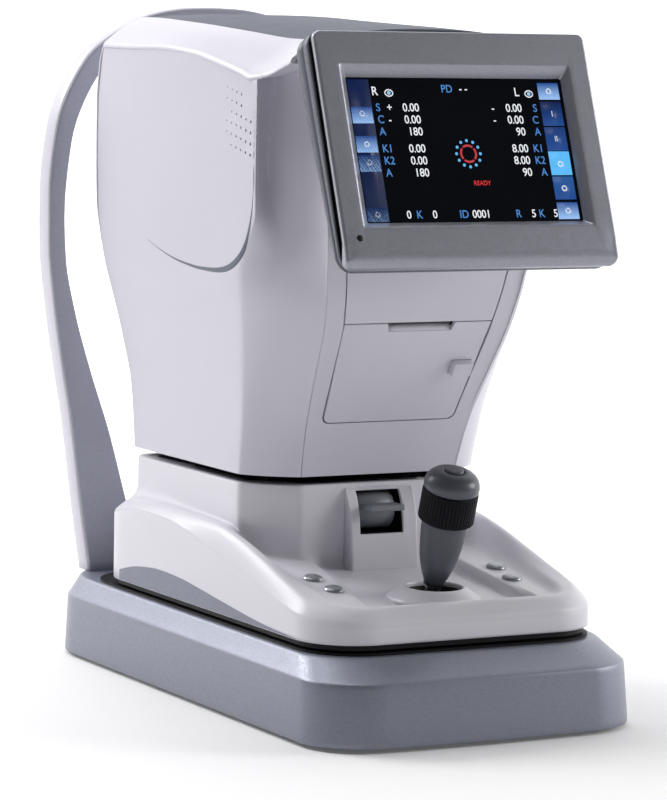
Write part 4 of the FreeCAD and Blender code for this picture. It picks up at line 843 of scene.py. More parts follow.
def pedestal_outline():
    """The pedestal's plan, with its corners beside the same points as in the stage's outline."""
    def corner(before, at, after, radius, count):
        """A corner rounded between two straight runs."""
        first = (Vector(before) - Vector(at)).normalized() * radius
        last = (Vector(after) - Vector(at)).normalized() * radius
        start, end = Vector(at) + first, Vector(at) + last
        points = []
        for share in spread(0, 1, count):
            middle = Vector(at) * 2 * share * (1 - share)
            points.append(tuple(start * (1 - share) ** 2 + middle + end * share ** 2))
        return points

    middle_front, front, side_front = (0, WALL_Y), (56.3, WALL_Y), (87.1, -33)
    side_rear, rear, middle_rear = (87.1, 121), (79, 131), (0, 131)
    first = corner(middle_front, front, side_front, 3.0, 5)
    second = corner(front, side_front, side_rear, 3.0, 5)
    third = corner(side_front, side_rear, rear, 4.0, 5)
    fourth = corner(side_rear, rear, middle_rear, 4.0, 5)
    points = [(x, WALL_Y) for x in spread(0, first[0][0], 15)]
    points += first[1:]
    points += softened_run(first[-1], second[0], 14)
    points += second[1:]
    points += softened_run(second[-1], third[0], 44)
    points += third[1:]
    points += softened_run(third[-1], fourth[0], 8)
    points += fourth[1:]
    points += softened_run(fourth[-1], middle_rear, 10)
    return points


def inside_stage(x, y):
    """How far a point lies inside the stage's outline."""
    centre = (STAGE_FRONT + STAGE_REAR) / 2
    half = (STAGE_REAR - STAGE_FRONT) / 2
    across = abs(x) - (STAGE_HALF - STAGE_RADIUS)
    along = abs(y - centre) - (half - STAGE_RADIUS)
    outside = math.hypot(max(across, 0), max(along, 0)) + min(max(across, along), 0)
    return STAGE_RADIUS - outside


def deck_z(x, y, from_wall):
    """Height of the stage's upper surface: rim, rails, button shelves and dished middle."""
    inside = inside_stage(x, y)
    edge, crest = float(edge_z(y)), float(crest_z(y))
    rim_width = blend(13.0, 9.0, float(ease((y + 175) / 50)))
    rim = blend(edge, crest, math.sin(math.pi / 2 * min(1.0, max(inside, 0) / rim_width)))
    plane = deck_plane(y)
    dished = plane - 5.5 + 5.5 * float(ease((abs(x) - float(dish_half(y))) / 7.0))
    shelf = dished + 4.5 * float(ease((abs(x) - 74) / 13))
    inner = float(ease((inside - rim_width - 0.5) / 13)) * float(ease((-26 - y) / 22))
    height = blend(rim, shelf, inner)
    radius = blend(4.0, 13.0, float(ease((y + 50) / 40)))
    if from_wall < radius:
        height += radius - math.sqrt(radius ** 2 - (radius - from_wall) ** 2)
    return height


def stage_shell():
    """The stage cover, in columns from its skirt up over the deck to the pedestal's top."""
    outer = stage_outline()
    inner = pedestal_outline()
    count = min(len(outer), len(inner))
    columns = []
    for (ox, oy), (ix, iy) in zip(outer[:count], inner[:count]):
        reach = math.hypot(ox - ix, oy - iy)
        column = [(ox, oy, z) for z in spread(STAGE_SKIRT, float(edge_z(oy)) - 1.6, 7)]
        shares = joined_steps(spread(0, 0.16, 14), spread(0.16, 0.86, 26), spread(0.86, 1, 12))
        tops = []
        for share in shares:
            x, y = blend(ox, ix, share), blend(oy, iy, share)
            tops.append((x, y, deck_z(x, y, reach * (1 - share) * 0.97)))
        start = column[-1]
        toward = Vector((ix - ox, iy - oy)).normalized()
        for angle in np.radians((22, 45, 68)):
            shift = 1.4 * (1 - math.cos(angle))
            column.append((ox + toward.x * shift, oy + toward.y * shift, start[2] + 1.5 * math.sin(angle)))
        column += tops[1:]
        wall_foot = tops[-1][2]
        column += [(ix, iy, z) for z in spread(wall_foot, PEDESTAL_TOP - 1.2, 8)[1:]]
        centre = Vector((0, 30))
        inward = (centre - Vector((ix, iy))).normalized()
        for angle in np.radians((30, 60, 90)):
            shift = 1.2 * (1 - math.cos(angle))
            column.append((ix + inward.x * shift, iy + inward.y * shift,
                           PEDESTAL_TOP - 1.2 * (1 - math.sin(angle))))
        column.append((ix + inward.x * 14, iy + inward.y * 14, PEDESTAL_TOP))
        columns.append(column)
    mirrored = [[(-x, y, z) for x, y, z in column] for column in reversed(columns[1:-1])]
    grid = np.array(columns + mirrored).transpose(1, 0, 2)
    piece = grid_piece("stage_shell", grid, STAGE_WHITE, "stage", ring=True)
    thicken(piece, STAGE_INSIDE, 2.0, 0)
    hole = tilted_frame(STICK_HOLE_Y, deck_plane(STICK_HOLE_Y), DECK_SLOPE)
    cut_away(piece, "stick_hole", *bar(22.0, 40, hole, 48))
    cut_away(piece, "lock_opening", *block((LOCK_X - 16.6, LOCK_X + 16.6), (-66, -55), (111.2, 140.4)))
    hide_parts("stage_cover")


def side_crescents():
    """Thin grey inlays along the lower sides of the stage."""
    top = smooth_curve((-152, 61.6), (-127, 62.6), (-100, 64.2), (-72, 66.8), (-43, 69.8), (-13, 73),
                       (17, 75.8), (47, 76.8), (82, 74.2), (110, 68.4), (128, 62.6), (133, 61.6))
    for side, name in ((-1, "left_crescent"), (1, "right_crescent")):
        rows = []
        for share in spread(0, 1, 6):
            rows.append([(side * (STAGE_HALF + 0.25), y, blend(61.4, float(top(y)), share))
                         for y in spread(-148, 111, 70)])
        piece = grid_piece(name, rows, INSERT_GREY, "stage")
        thicken(piece, STAGE_INSIDE, 0.5, 0.15)
        if side < 0:
            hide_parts("side_inserts")


COLLAR_SLOPE = 2.0


def collar():
    """The raised ring that the joystick stands in."""
    profile = [(17.9, -6), (17.6, 1.7)]
    profile += [(18.9 - 1.3 * math.cos(angle), 1.7 + 1.2 * math.sin(angle)) for angle in spread(0.3, 1.57, 4)]
    profile += [(20.0, 2.8), (21.4, 2.1), (23.6, 0.5), (26.0, -1.2), (28.4, -2.7), (30.3, -3.9), (30.4, -6.0),
                (24, -6)]
    profile.append(profile[0])
    frame_here = tilted_frame(STICK_HOLE_Y, deck_plane(STICK_HOLE_Y), COLLAR_SLOPE)
    piece = lathe("stick_collar", profile, STAGE_WHITE, "stage", frame_here, 96)
    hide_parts("joystick_collar")
    well = lathe("stick_well", [(17.8, -5.9), (17.8, 0.0), (17.4, 0.0), (17.4, -5.9), (17.8, -5.9)],
                 BLACK_PLASTIC, "stage", frame_here, 64)


def control_buttons():
    """Four silver domes, square to the deck."""
    for name in ("button_left_rear", "button_left_front", "button_right_rear", "button_right_front"):
        low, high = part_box(name)
        across = (low.x + high.x) / 2 / MM
        y = -101.3 if "rear" in name else -125.4
        dome = [(0, 3.1)]
        dome += [(6.6 * math.sin(angle), 0.4 + 2.7 * math.cos(angle)) for angle in spread(0.2, 1.5, 9)]
        dome += [(6.6, 0.1), (6.4, -0.2), (6.4, -4), (0, -4)]
        piece = lathe(name + "_dome", dome, BUTTON_SILVER, name, on_deck(across, y), 40)
        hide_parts(name)


# ---------------------------------------------------------------------------------------------------------
# Joystick and lock
# ---------------------------------------------------------------------------------------------------------

LOCK_X, LOCK_Z = -1.6, 126           # middle of the drum's place in the lock's window


def joystick():
    """Handle, domed cap, ribbed height ring and the button in the cap."""
    handle = [(0, 24), (6.6, 24), (7.2, 27), (8.6, 30), (10.0, 34), (11.3, 38.5), (12.4, 43), (13.3, 49),
              (14.0, 55), (14.5, 61), (14.6, 65.6), (14.7, 66.3), (15.3, 66.7), (15.4, 67.4), (15.1, 68.1),
              (0, 68.2)]
    grip = lathe("stick_handle", handle, STICK_GREY, "joystick", STICK, 72)
    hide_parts("joystick_handle")

    dome = [(0, 89.6), (17.1, 89.6), (17.5, 90.1), (17.8, 91.4), (17.8, 93.0), (17.4, 95.2), (16.5, 97.4),
            (15.0, 99.3), (13.0, 100.8), (11.0, 101.6), (9.0, 101.95), (7.4, 102.0), (6.6, 101.8),
            (6.4, 101.2), (6.4, 100.0), (0, 100.0)]
    cap = lathe("stick_dome", dome, STICK_GREY, "joystick", STICK, 72)
    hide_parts("joystick_cap")

    rows = []
    ribs, steps = 48, 48 * 8
    for z, inset in ((68.5, 1.2), (68.8, 0.5), (69.4, 0.1), (70.2, 0.0), (79, 0.0), (87.6, 0.0), (88.4, 0.1),
                     (89.0, 0.5), (89.3, 1.2)):
        row = []
        depth = 0.85 if 70 < z < 88 else 0.3
        for step in range(steps):
            turn = 2 * math.pi * step / steps
            groove = max(0.0, math.cos(turn * ribs)) ** 1.5
            radius = 17.9 - inset - depth * groove
            row.append((radius * math.cos(turn), radius * math.sin(turn), z))
        rows.append(row)
    ring = grid_piece("stick_ring", rows, RING_RUBBER, "height_ring", STICK, ring=True, capped=True)
    tidy_normals(ring)
    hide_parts("joystick_ring")

    button = [(0, 98), (6.0, 98), (6.0, 102.1), (5.8, 102.8), (5.2, 103.1), (4.2, 103.15), (0, 103.0)]
    trigger = lathe("stick_trigger", button, STICK_GREY, "trigger", STICK, 48)
    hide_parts("trigger_button")


def lock():
    """White block with a window on the pedestal's front, and the grey drum and tab that turn in it."""
    low, high, middle, half = 88.0, 141.5, 0.25, 24.6
    outer = [(x + middle, z) for x, z in rounded_loop(half, low, high, 0.8, 1.5, 8, 6)]
    window = [(x + LOCK_X, z) for x, z in rounded_loop(15.8, 112, 139.6, 0.6, 0.6, 8, 6)]
    window_centre, outer_centre = Vector((LOCK_X, LOCK_Z)), Vector((middle, 115))
    face_y = smooth_curve((88, -73.9), (122, -70.9), (130, -68.8), (136, -66.3), (140, -63.8), (141.6, -62.2))

    def layer(loop, centre, inset, back):
        """A loop laid on the leaning face, drawn in and set back."""
        row = []
        for x, z in loop:
            inward = (centre - Vector((x, z))).normalized() * inset
            row.append((x + inward.x, min(float(face_y(z)) + back, WALL_Y), z + inward.y))
        return row

    rows = [[(x, -58.0, z) for x, z in window]]
    rows += [layer(window, window_centre, inset, back)
             for inset, back in ((0.0, 0.9), (-0.15, 0.3), (-0.5, 0.05), (-0.9, 0.0), (-1.3, 0.0))]
    rows += [layer(outer, outer_centre, inset, back)
             for inset, back in ((1.6, 0.0), (1.1, 0.0), (0.5, 0.1), (0.1, 0.5), (0.0, 1.1), (0.0, 1.6))]
    rows.append([(x, WALL_Y + 0.3, z) for x, z in outer])
    piece = grid_piece("lock_block", rows, STAGE_WHITE, "stage", ring=True)
    thicken(piece, (LOCK_X, -60, LOCK_Z), 0.8, 0)
    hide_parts("lock_housing")
    well = [layer(window, window_centre, 0.1, 1.3), [(x, -40.0, z) for x, z in window]]
    liner = grid_piece("lock_well", well, BLACK_PLASTIC, "stage", ring=True)
    close_rings(liner, len(window), (1,))

    drum_frame = Matrix.Translation((LOCK_X - 1.5, -54, LOCK_Z))
    drum = [(0, -13.8), (12.0, -13.8), (12.5, -13.3), (12.5, 13.3), (12.0, 13.8), (0, 13.8)]
    piece = lathe("lock_drum", drum, CONTROL_GREY, "lock_lever", drum_frame, 72, axis="X")
    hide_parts("lock_lever")
    tab_outline = [(-11.4, 1.3), (14.6, 1.3), (14.6, 5.3), (-11.4, 5.3)]
    tab = plate("lock_tab", tab_outline, -25, -8, CONTROL_GREY, "lock_lever", drum_frame, 1.2, 4)


# ---------------------------------------------------------------------------------------------------------
# Screen
# ---------------------------------------------------------------------------------------------------------

def bezel_droop(z):
    """How far the frame's face curves back near its lower edge."""
    return 4.6 * max(0.0, (-64.5 - z) / 11.3) ** 2.2


def screen_bezel():
    """Frame of the display: a flat face with crisp edges, chamfered to the glass, curved back at its foot."""
    half, high = 97.1, 75.8

    def loop(half_width, low, top, radius, y):
        outline = rounded_loop(half_width, low, top, radius, None, 10, 12)
        return [(x, y + bezel_droop(z), z) for x, z in outline]

    def edge_loop(inset, y):
        return loop(half - inset, -high + inset, high - inset, max(5.0 - inset, 1.0), y)

    def back_loop(inset, y, foot_y):
        return [(x, blend(y, foot_y, float(ease((-62 - z) / 8))), z)
                for x, _, z in edge_loop(inset, y)]

    rows = [loop(77.2, -46.6, 46.9, 1.0, -0.2), loop(77.2, -46.6, 46.9, 1.0, -0.6),
            loop(81.4, -50.0, 53.4, 1.4, -4.2), loop(81.9, -50.5, 53.9, 1.7, -4.65),
            loop(82.5, -51.1, 54.5, 2.0, -4.93), loop(83.2, -51.8, 55.2, 2.4, -5.0)]
    rows += [edge_loop(inset, -5.0) for inset in (11, 9, 7, 5, 3.2, 2.0)]
    rows += [edge_loop(1.5 * (1 - math.sin(angle)), -5.0 + 1.5 * (1 - math.cos(angle)))
             for angle in spread(0, math.pi / 2, 6)]
    rows += [back_loop(0.0, -1.4, 2.8), back_loop(0.4, -1.0, 3.2), back_loop(2.2, -1.0, 3.2),
             back_loop(2.6, 3.2, 3.3), loop(89, -58, 58, 4, 3.4), loop(89, -58, 58, 4, -0.2)]
    piece = grid_piece("screen_frame", rows, BEZEL_GREY, "screen", SCREEN, ring=True, tube=True)
    tidy_normals(piece)
    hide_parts("screen_bezel")
    gasket = grid_piece("screen_gasket", [edge_loop(2.0, y) for y in (-1.2, 4.9)], BLACK_PLASTIC, "screen",
                        SCREEN, ring=True)
    thicken(gasket, SCREEN_INSIDE, 1.0, 0)
    dot_profile = [(0, -5.15), (1.9, -5.15), (2.2, -4.9), (2.2, -3.5), (0, -3.5)]
    dot = lathe("screen_sensor", dot_profile, BLACK_PLASTIC, "screen",
                SCREEN @ Matrix.Translation((-86.4, 0, -57.2)), 32, axis="Y")


def housing_depth(z):
    """How deep the screen's rear housing is at a height on its own upright frame."""
    return float(smooth_curve((-79, 12.5), (-60, 14.0), (-26, 17.5), (40, 23.4), (66, 24.0), (79, 22.6))(z))


def screen_housing():
    """Rear housing of the display: a wedge that is deepest at its top, with a groove round it."""
    def loop(inset, share, extra=0.0):
        points = []
        for x, z in rounded_loop(97.1 - inset, -75.0 + inset, 78.4 - inset, 10, 10, 10, 16):
            points.append((x, blend(4.6, housing_depth(z), share) + extra, z))
        return points

    rows = [loop(0.5, 0.0, -0.2), loop(0.0, 0.04), loop(0.0, 0.30), loop(0.5, 0.33), loop(0.5, 0.36),
            loop(0.0, 0.39), loop(0.0, 0.7), loop(0.6, 0.84), loop(2.2, 0.94), loop(4.6, 1.0),
            loop(20, 1.0), loop(50, 1.0), loop(74, 1.0)]
    piece = grid_piece("screen_back", rows, HOUSING_GREY, "screen", SCREEN, ring=True)
    close_rings(piece, len(rows[0]), (len(rows) - 1,))
    thicken(piece, SCREEN_INSIDE, 1.8, 0)
    for side in (-1, 1):
        cut_away(piece, "hinge_slot", *block((side * 36 - 6.5, side * 36 + 6.5), (7, 30), (49, 73), SCREEN))
    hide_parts("screen_housing")


# ---------------------------------------------------------------------------------------------------------
# Picture on the display: a generic layout of numbers, keys and a ring of dots
# ---------------------------------------------------------------------------------------------------------

PICTURE_WIDTH, PICTURE_HEIGHT = 152.4, 91.4
NAVY, BLUE, PALE_BLUE = (0.004, 0.012, 0.06), (0.012, 0.06, 0.25), (0.30, 0.50, 0.85)
CYAN, LABEL_BLUE = (0.10, 0.45, 0.85), (0.05, 0.20, 0.52)
INK_WHITE, RED = (0.75, 0.78, 0.82), (0.60, 0.02, 0.02)


def picture_point(across, down):
    """A place on the picture, as shares of its width and height from its top left corner."""
    return ((across - 0.5) * PICTURE_WIDTH, (0.5 - down) * PICTURE_HEIGHT)


class Picture:
    """Flat lit shapes, gathered into one mesh with a colour at each point."""

    def __init__(self):
        self.vertices, self.faces, self.colours = [], [], []

    def shape(self, points, low_colour, high_colour=None):
        """A flat shape, graded from its bottom to its top."""
        start = len(self.vertices)
        bottom, top = min(z for x, z in points), max(z for x, z in points)
        for x, z in points:
            share = (z - bottom) / max(top - bottom, TINY)
            self.vertices.append((x, z))
            self.colours.append([blend(a, b, share) for a, b in zip(low_colour, high_colour or low_colour)])
        self.faces.append(tuple(range(start, start + len(points))))

    def key(self, left, right, top, bottom, low_colour, high_colour):
        """A touch key."""
        corners = (picture_point(left, bottom), picture_point(right, bottom), picture_point(right, top),
                   picture_point(left, top))
        self.shape(corners, low_colour, high_colour)

    def dot(self, across, down, radius, colour, inner=0.0, start=0.0, end=360.0):
        """A disc, or with an inner radius a ring or part of one."""
        x, z = picture_point(across, down)
        steps = [math.radians(angle) for angle in spread(start, end, 17)]
        for first, second in zip(steps, steps[1:]):
            corners = [(x + radius * math.cos(first), z + radius * math.sin(first)),
                       (x + radius * math.cos(second), z + radius * math.sin(second))]
            if inner:
                corners += [(x + inner * math.cos(second), z + inner * math.sin(second)),
                            (x + inner * math.cos(first), z + inner * math.sin(first))]
            else:
                corners.append((x, z))
            self.shape(corners, colour)

    def words(self, text, across, down, height, colour, align="LEFT"):
        """Plain letters or figures of a given cap height."""
        curve = bpy.data.curves.new("words", "FONT")
        curve.body = text
        curve.size = height / 0.70
        curve.align_x = align
        curve.align_y = "CENTER"
        curve.offset = 0.012 * height
        holder = bpy.data.objects.new("words", curve)
        bpy.context.scene.collection.objects.link(holder)
        bpy.context.view_layer.update()
        mesh = bpy.data.meshes.new_from_object(holder.evaluated_get(bpy.context.evaluated_depsgraph_get()))
        start = len(self.vertices)
        x, z = picture_point(across, down)
        for vertex in mesh.vertices:
            self.vertices.append((x + vertex.co.x * 0.92, z + vertex.co.y))
            self.colours.append(list(colour))
        self.faces.extend(tuple(corner + start for corner in polygon.vertices) for polygon in mesh.polygons)
        bpy.data.objects.remove(holder)
        bpy.data.meshes.remove(mesh)
        bpy.data.curves.remove(curve)


def picture_look():
    """Light of the picture: the colour of each point, broken up by the display's fine rows of dots."""
    look, nodes, links, shader = new_look("display_light")
    colour = nodes.new("ShaderNodeAttribute")
    colour.attribute_name = "light"
    rows = noise(nodes, links, 1500.0, 0.0)
    strength = graded(nodes, links, rows, 0.95, 1.25)
    lit = nodes.new("ShaderNodeVectorMath")
    lit.operation = "SCALE"
    links.new(colour.outputs["Color"], lit.inputs[0])
    links.new(strength, lit.inputs["Scale"])
    links.new(lit.outputs["Vector"], shader.inputs["Emission Color"])
    shader.inputs["Base Color"].default_value = (0.004, 0.004, 0.006, 1)
    shader.inputs["Emission Strength"].default_value = 1.0
    shader.inputs["Roughness"].default_value = 0.35
    shader.inputs["Specular IOR Level"].default_value = 0.2
    return look


def draw_keys(picture):
    """The touch keys down both sides."""
    picture.key(0.0, 0.098, 0.0, 1.0, (0.003, 0.010, 0.045), NAVY)
    for top, bottom in ((0.195, 0.31), (0.40, 0.515), (0.535, 0.65), (0.90, 1.0)):
        picture.key(0.0, 0.095, top, bottom, PALE_BLUE, BLUE)
    for top, bottom, low, high in ((0.015, 0.135, PALE_BLUE, BLUE), (0.15, 0.325, BLUE, NAVY),
                                   (0.335, 0.505, BLUE, (0.01, 0.04, 0.16)), (0.51, 0.68, CYAN, CYAN),
                                   (0.69, 0.855, BLUE, (0.02, 0.09, 0.28)), (0.875, 0.995, PALE_BLUE, BLUE)):
        picture.key(0.892, 0.992, top, bottom, low, high)
    for down in (0.242, 0.585, 0.457, 0.95):
        picture.dot(0.048, down, 1.9, INK_WHITE, 1.1)
    for down in (0.075, 0.60, 0.775, 0.935):
        picture.dot(0.942, down, 2.0, INK_WHITE, 1.1)
    for down, count in ((0.24, 1), (0.42, 2)):
        picture.words("I" * count, 0.942, down, 3.6, INK_WHITE, "CENTER")


def draw_values(picture):
    """Measured values of the right and left eye, with their usual short names."""
    rows = (0.20, 0.285, 0.37, 0.49, 0.575, 0.66)
    left = ("0.00", "0.00", "180", "0.00", "0.00", "180")
    right = ("0.00", "0.00", "90", "8.00", "8.00", "90")
    names = ("S", "C", "A", "K1", "K2", "A")
    for down, first, second, name in zip(rows, left, right, names):
        picture.words(name, 0.115, down, 5.0, LABEL_BLUE)
        picture.words(first, 0.315, down, 5.2, INK_WHITE, "RIGHT")
        picture.words(second, 0.80, down, 5.2, INK_WHITE, "RIGHT")
        picture.words(name, 0.873, down, 5.0, LABEL_BLUE, "RIGHT")
    signs = ((0.165, 0.20, "+"), (0.165, 0.285, "-"), (0.655, 0.20, "-"), (0.655, 0.285, "-"))
    for across, down, sign in signs:
        picture.words(sign, across, down, 5.0, INK_WHITE)
    picture.words("R", 0.105, 0.085, 5.6, INK_WHITE)
    picture.words("L", 0.775, 0.085, 5.6, INK_WHITE)
    picture.words("PD", 0.43, 0.065, 5.0, LABEL_BLUE)
    picture.words("- -", 0.515, 0.062, 5.0, INK_WHITE)
    for across in (0.185, 0.845):
        picture.dot(across, 0.105, 3.4, INK_WHITE, 2.7, 20, 160)
        picture.dot(across, 0.085, 3.4, INK_WHITE, 2.7, 200, 340)
        picture.dot(across, 0.095, 1.3, (0.25, 0.5, 0.7))
    bottom_line = (("0", 0.18, INK_WHITE), ("K", 0.225, LABEL_BLUE), ("0", 0.30, INK_WHITE),
                   ("ID", 0.425, LABEL_BLUE), ("0001", 0.485, INK_WHITE), ("R", 0.69, LABEL_BLUE),
                   ("5", 0.765, INK_WHITE), ("K", 0.80, LABEL_BLUE), ("5", 0.87, INK_WHITE))
    for text, across, colour in bottom_line:
        picture.words(text, across, 0.955, 5.0, colour)


def display_picture():
    """The lit page on the display, just in front of its glass."""
    picture = Picture()
    draw_keys(picture)
    draw_values(picture)
    for step in range(12):
        angle = 2 * math.pi * step / 12
        picture.dot(0.512 + 0.056 * math.cos(angle), 0.525 + 0.093 * math.sin(angle), 1.0, (0.12, 0.42, 0.75))
    for start in (50, 140, 230, 320):
        picture.dot(0.512, 0.525, 6.0, (0.45, 0.03, 0.04), 4.6, start, start + 78)
    picture.words("READY", 0.555, 0.735, 3.0, RED, "CENTER")
    points = [(x, -0.14, z) for x, z in picture.vertices]
    piece = piece_from("display_picture", points, picture.faces, picture_look(), "screen", SCREEN)
    layer = piece.data.color_attributes.new("light", "FLOAT_COLOR", "POINT")
    for item, colour in zip(layer.data, picture.colours):
        item.color = (*colour, 1)
    thicken(piece, (0, -100, 340), 0.06, 0)


# ---------------------------------------------------------------------------------------------------------
# Base, head-rest arch, forehead pad and chin rest
# ---------------------------------------------------------------------------------------------------------

def base_body():
    """The heavy foot: upright sides, a soft ridge, and a bevel that is widest at the front."""
    levels = (
        # half width, front, rear, front radius, rear radius, height
        (113.0, -217.0, 217.0, 38.5, 55.5, 2.6), (115.6, -219.4, 219.4, 40.8, 57.8, 2.6),
        (116.0, -219.8, 219.8, 41, 58, 3.2), (115.9, -219.7, 219.8, 41, 58, 6.0),
        (115.3, -218.1, 219.5, 41, 58, 22.0), (114.7, -216.4, 219.1, 41, 58, 38.0),
        (114.5, -216.0, 219.0, 41, 58, 40.4), (114.3, -215.6, 218.9, 41, 58, 41.4),
        (113.7, -214.4, 218.7, 41, 58, 42.4), (112.6, -211.6, 218.4, 41, 58, 43.9),
        (109.5, -203.0, 217.4, 40, 57, 48.6), (106.9, -195.6, 216.5, 39, 56.5, 52.6),
        (106.2, -193.4, 216.2, 39, 56, 53.7), (105.3, -192.0, 215.7, 38.6, 55.6, 54.3),
        (103.8, -190.6, 215.0, 38, 55, 54.5), (96.0, -180.0, 205.0, 34, 48, 54.5))
    rows = []
    for half, front, rear, front_radius, rear_radius, height in levels:
        row = []
        for x, y in rounded_loop(half, front, rear, front_radius, rear_radius, 20, 24):
            bow = 3.2 * min(1.0, abs(x) / 90) ** 2 * float(ease((-150 - y) / 60))
            row.append((x, y + bow, height))
        rows.append(row)
    piece = grid_piece("base_body", rows, BASE_GREY, "base", ring=True)
    close_rings(piece, len(rows[0]), (len(rows) - 1,))
    thicken(piece, (0, 0, 20), SKIN, 0)
    for node in ("power_inlet", "power_switch"):
        low, high = (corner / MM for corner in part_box(node))
        cut_away(piece, node + "_opening", *block((low.x - 0.3, high.x + 0.3), (205, 225),
                                                  (low.z - 0.3, high.z + 0.3)))
    cut_away(piece, "post_opening", *block((-60, 60), (-19, 59), (45, 60)))
    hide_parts("base_shell")


def arch_line(points):
    """A smooth half of the horseshoe through (half width, height) points; takes a share from foot to apex."""
    full = list(points) + [(-points[-2][0], points[-2][1])]
    reach = [0.0]
    for before, after in zip(full, full[1:]):
        reach.append(reach[-1] + math.hypot(after[0] - before[0], after[1] - before[1]))
    apex = reach[len(points) - 1]
    half_at = smooth_curve(*[(place, point[0]) for place, point in zip(reach, full)])
    height_at = smooth_curve(*[(place, point[1]) for place, point in zip(reach, full)])
    return lambda share: (float(half_at(share * apex)), float(height_at(share * apex)))


ARCH_OUTER = arch_line(((90.5, 54.5), (97.5, 100), (105.2, 157.3), (113.5, 205), (119.4, 244.3),
                        (123.4, 285), (123.7, 318), (118.6, 367), (96.7, 414.4), (72, 433.5),
                        (45.9, 445.2), (20, 449.4), (0, 450)))
ARCH_INNER = arch_line(((48, 54.5), (62, 103), (76.2, 153.7), (90, 194), (103, 237.6), (110.4, 275),
                        (111.8, 305), (107, 355.9), (87.4, 401.7), (64, 421.5), (41.4, 431.2),
                        (18, 435.4), (0, 436)))


def arch():
    """The horseshoe that carries the forehead pad: a white moulding with a grey cover on its front."""
    half = [(ARCH_OUTER(share), ARCH_INNER(share)) for share in spread(0, 1, 70)]
    full = half + [((-outer[0], outer[1]), (-inner[0], inner[1])) for outer, inner in reversed(half[:-1])]

    def band(sections):
        """Rows of points round the horseshoe for a cross-section given from its outer or inner edge."""
        grid = []
        for outer, inner in full:
            across = Vector((inner[0] - outer[0], inner[1] - outer[1]))
            wide = across.length
            along = across.normalized()
            row = []
            for reach, y in sections:
                place = reach if reach >= 0 else wide + reach
                row.append((outer[0] + along.x * place, y, outer[1] + along.y * place))
            grid.append(row)
        return grid

    frame_section = ((1.2, 192.1), (0.3, 192.5), (0.0, 193.4), (0.0, 200), (0.0, 207.5), (0.5, 209.4),
                     (1.6, 210.6), (3.4, 211.0), (-3.4, 211.0), (-1.6, 210.6), (-0.5, 209.4),
                     (-0.0001, 207.5), (-0.0001, 193.4), (-0.3, 192.5), (-1.2, 192.1))
    frame_piece = grid_piece("arch_band", band(frame_section), WHITE, "base", ring=True)
    close_rings(frame_piece, len(frame_section), (0, len(full) - 1))
    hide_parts("arch_frame")
    cover_section = ((1.0, 191.9), (0.5, 191.5), (0.6, 190.7), (1.6, 190.1), (2.6, 190.0), (-2.6, 190.0),
                     (-1.6, 190.1), (-0.6, 190.7), (-0.5, 191.5), (-1.0, 191.9))
    cover = grid_piece("arch_cover", band(cover_section), ARCH_GREY, "base", ring=True)
    close_rings(cover, len(cover_section), (0, len(full) - 1))
    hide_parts("arch_front_cover")

    holder = [(-40, 408), (40, 408), (40, 430), (34, 432.5), (14, 432.5), (14, 438), (-14, 438), (-14, 432.5),
              (-34, 432.5), (-40, 430)]
    bracket = plate("forehead_bracket", holder, 195, 206.8, WHITE, "base", UPRIGHT, 1.5, 4)


def forehead_pad():
    """A soft moulded pad, hollowed a little across for the forehead, with a seam line near its edge."""
    layers = ((1.5, 207.3, 0.0), (0.3, 208.0, 0.0), (0.0, 209.5, 0.0), (0.0, 212.0, 0.1), (0.5, 212.5, 0.1),
              (0.5, 212.9, 0.1), (0.0, 213.4, 0.2), (0.4, 215.2, 0.5), (1.6, 217.2, 0.8), (3.6, 218.4, 1.0),
              (6.5, 218.9, 1.0), (9.5, 218.9, 1.0), (12.0, 218.7, 1.0))
    half, deepest = 44, 2.4
    rows = []
    for inset, y, hollow in layers:
        row = []
        corner = max(8 - inset * 0.5, 0.9)
        for x, z in rounded_loop(half - inset, 402 + inset, 428 - inset, corner, None, 10, 14):
            row.append((x, y - hollow * deepest * (1 - (x / half) ** 2), z))
        rows.append(row)
    piece = grid_piece("forehead_cushion", rows, SOFT_GREY, "base", ring=True)
    close_rings(piece, len(rows[0]), (0, len(rows) - 1))
    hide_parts("forehead_pad")


def chin_rest():
    """The dished cup on its stem, with the two pegs that hold the chin papers."""
    dish_radius, dish_centre, reach = 44, 255, 31.5
    outline = [(-38, 200.5), (-30, 200), (30, 200), (38, 200.5), (38, 224)]
    outline += [(x, dish_centre - math.sqrt(dish_radius ** 2 - x ** 2)) for x in spread(reach, -reach, 25)]
    outline += [(-38, 224)]
    cup = plate("chin_cup", outline, 187.3, 218.7, WHITE, "chin_rest", UPRIGHT, 2.2, 4)
    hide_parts("chin_rest")
    stem = plate("chin_stem", [(-10, 120), (10, 120), (10, 201), (-10, 201)], 193, 209, WHITE, "chin_rest",
                 UPRIGHT, 1.0)
    peg_profile = [(0, 218), (2.5, 218), (2.5, 229.6), (2.2, 231.0), (1.4, 231.8), (0, 232)]
    for side, name in ((-1, "chin_peg_left"), (1, "chin_peg_right")):
        peg = lathe(name, peg_profile, STEEL, "chin_rest", Matrix.Translation((side * 35, 203, 0)), 24)
    column = plate("chin_post", [(-26, 54.6), (26, 54.6), (26, 185), (-26, 185)], 186, 214, WHITE, "base",
                   UPRIGHT, 3.0, 5)
    cut_away(column, "stem_way", *block((-10.4, 10.4), (192.6, 209.4), (100, 190)))
    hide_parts("chin_column")


# ---------------------------------------------------------------------------------------------------------
# Carried-over CAD nodes
# ---------------------------------------------------------------------------------------------------------

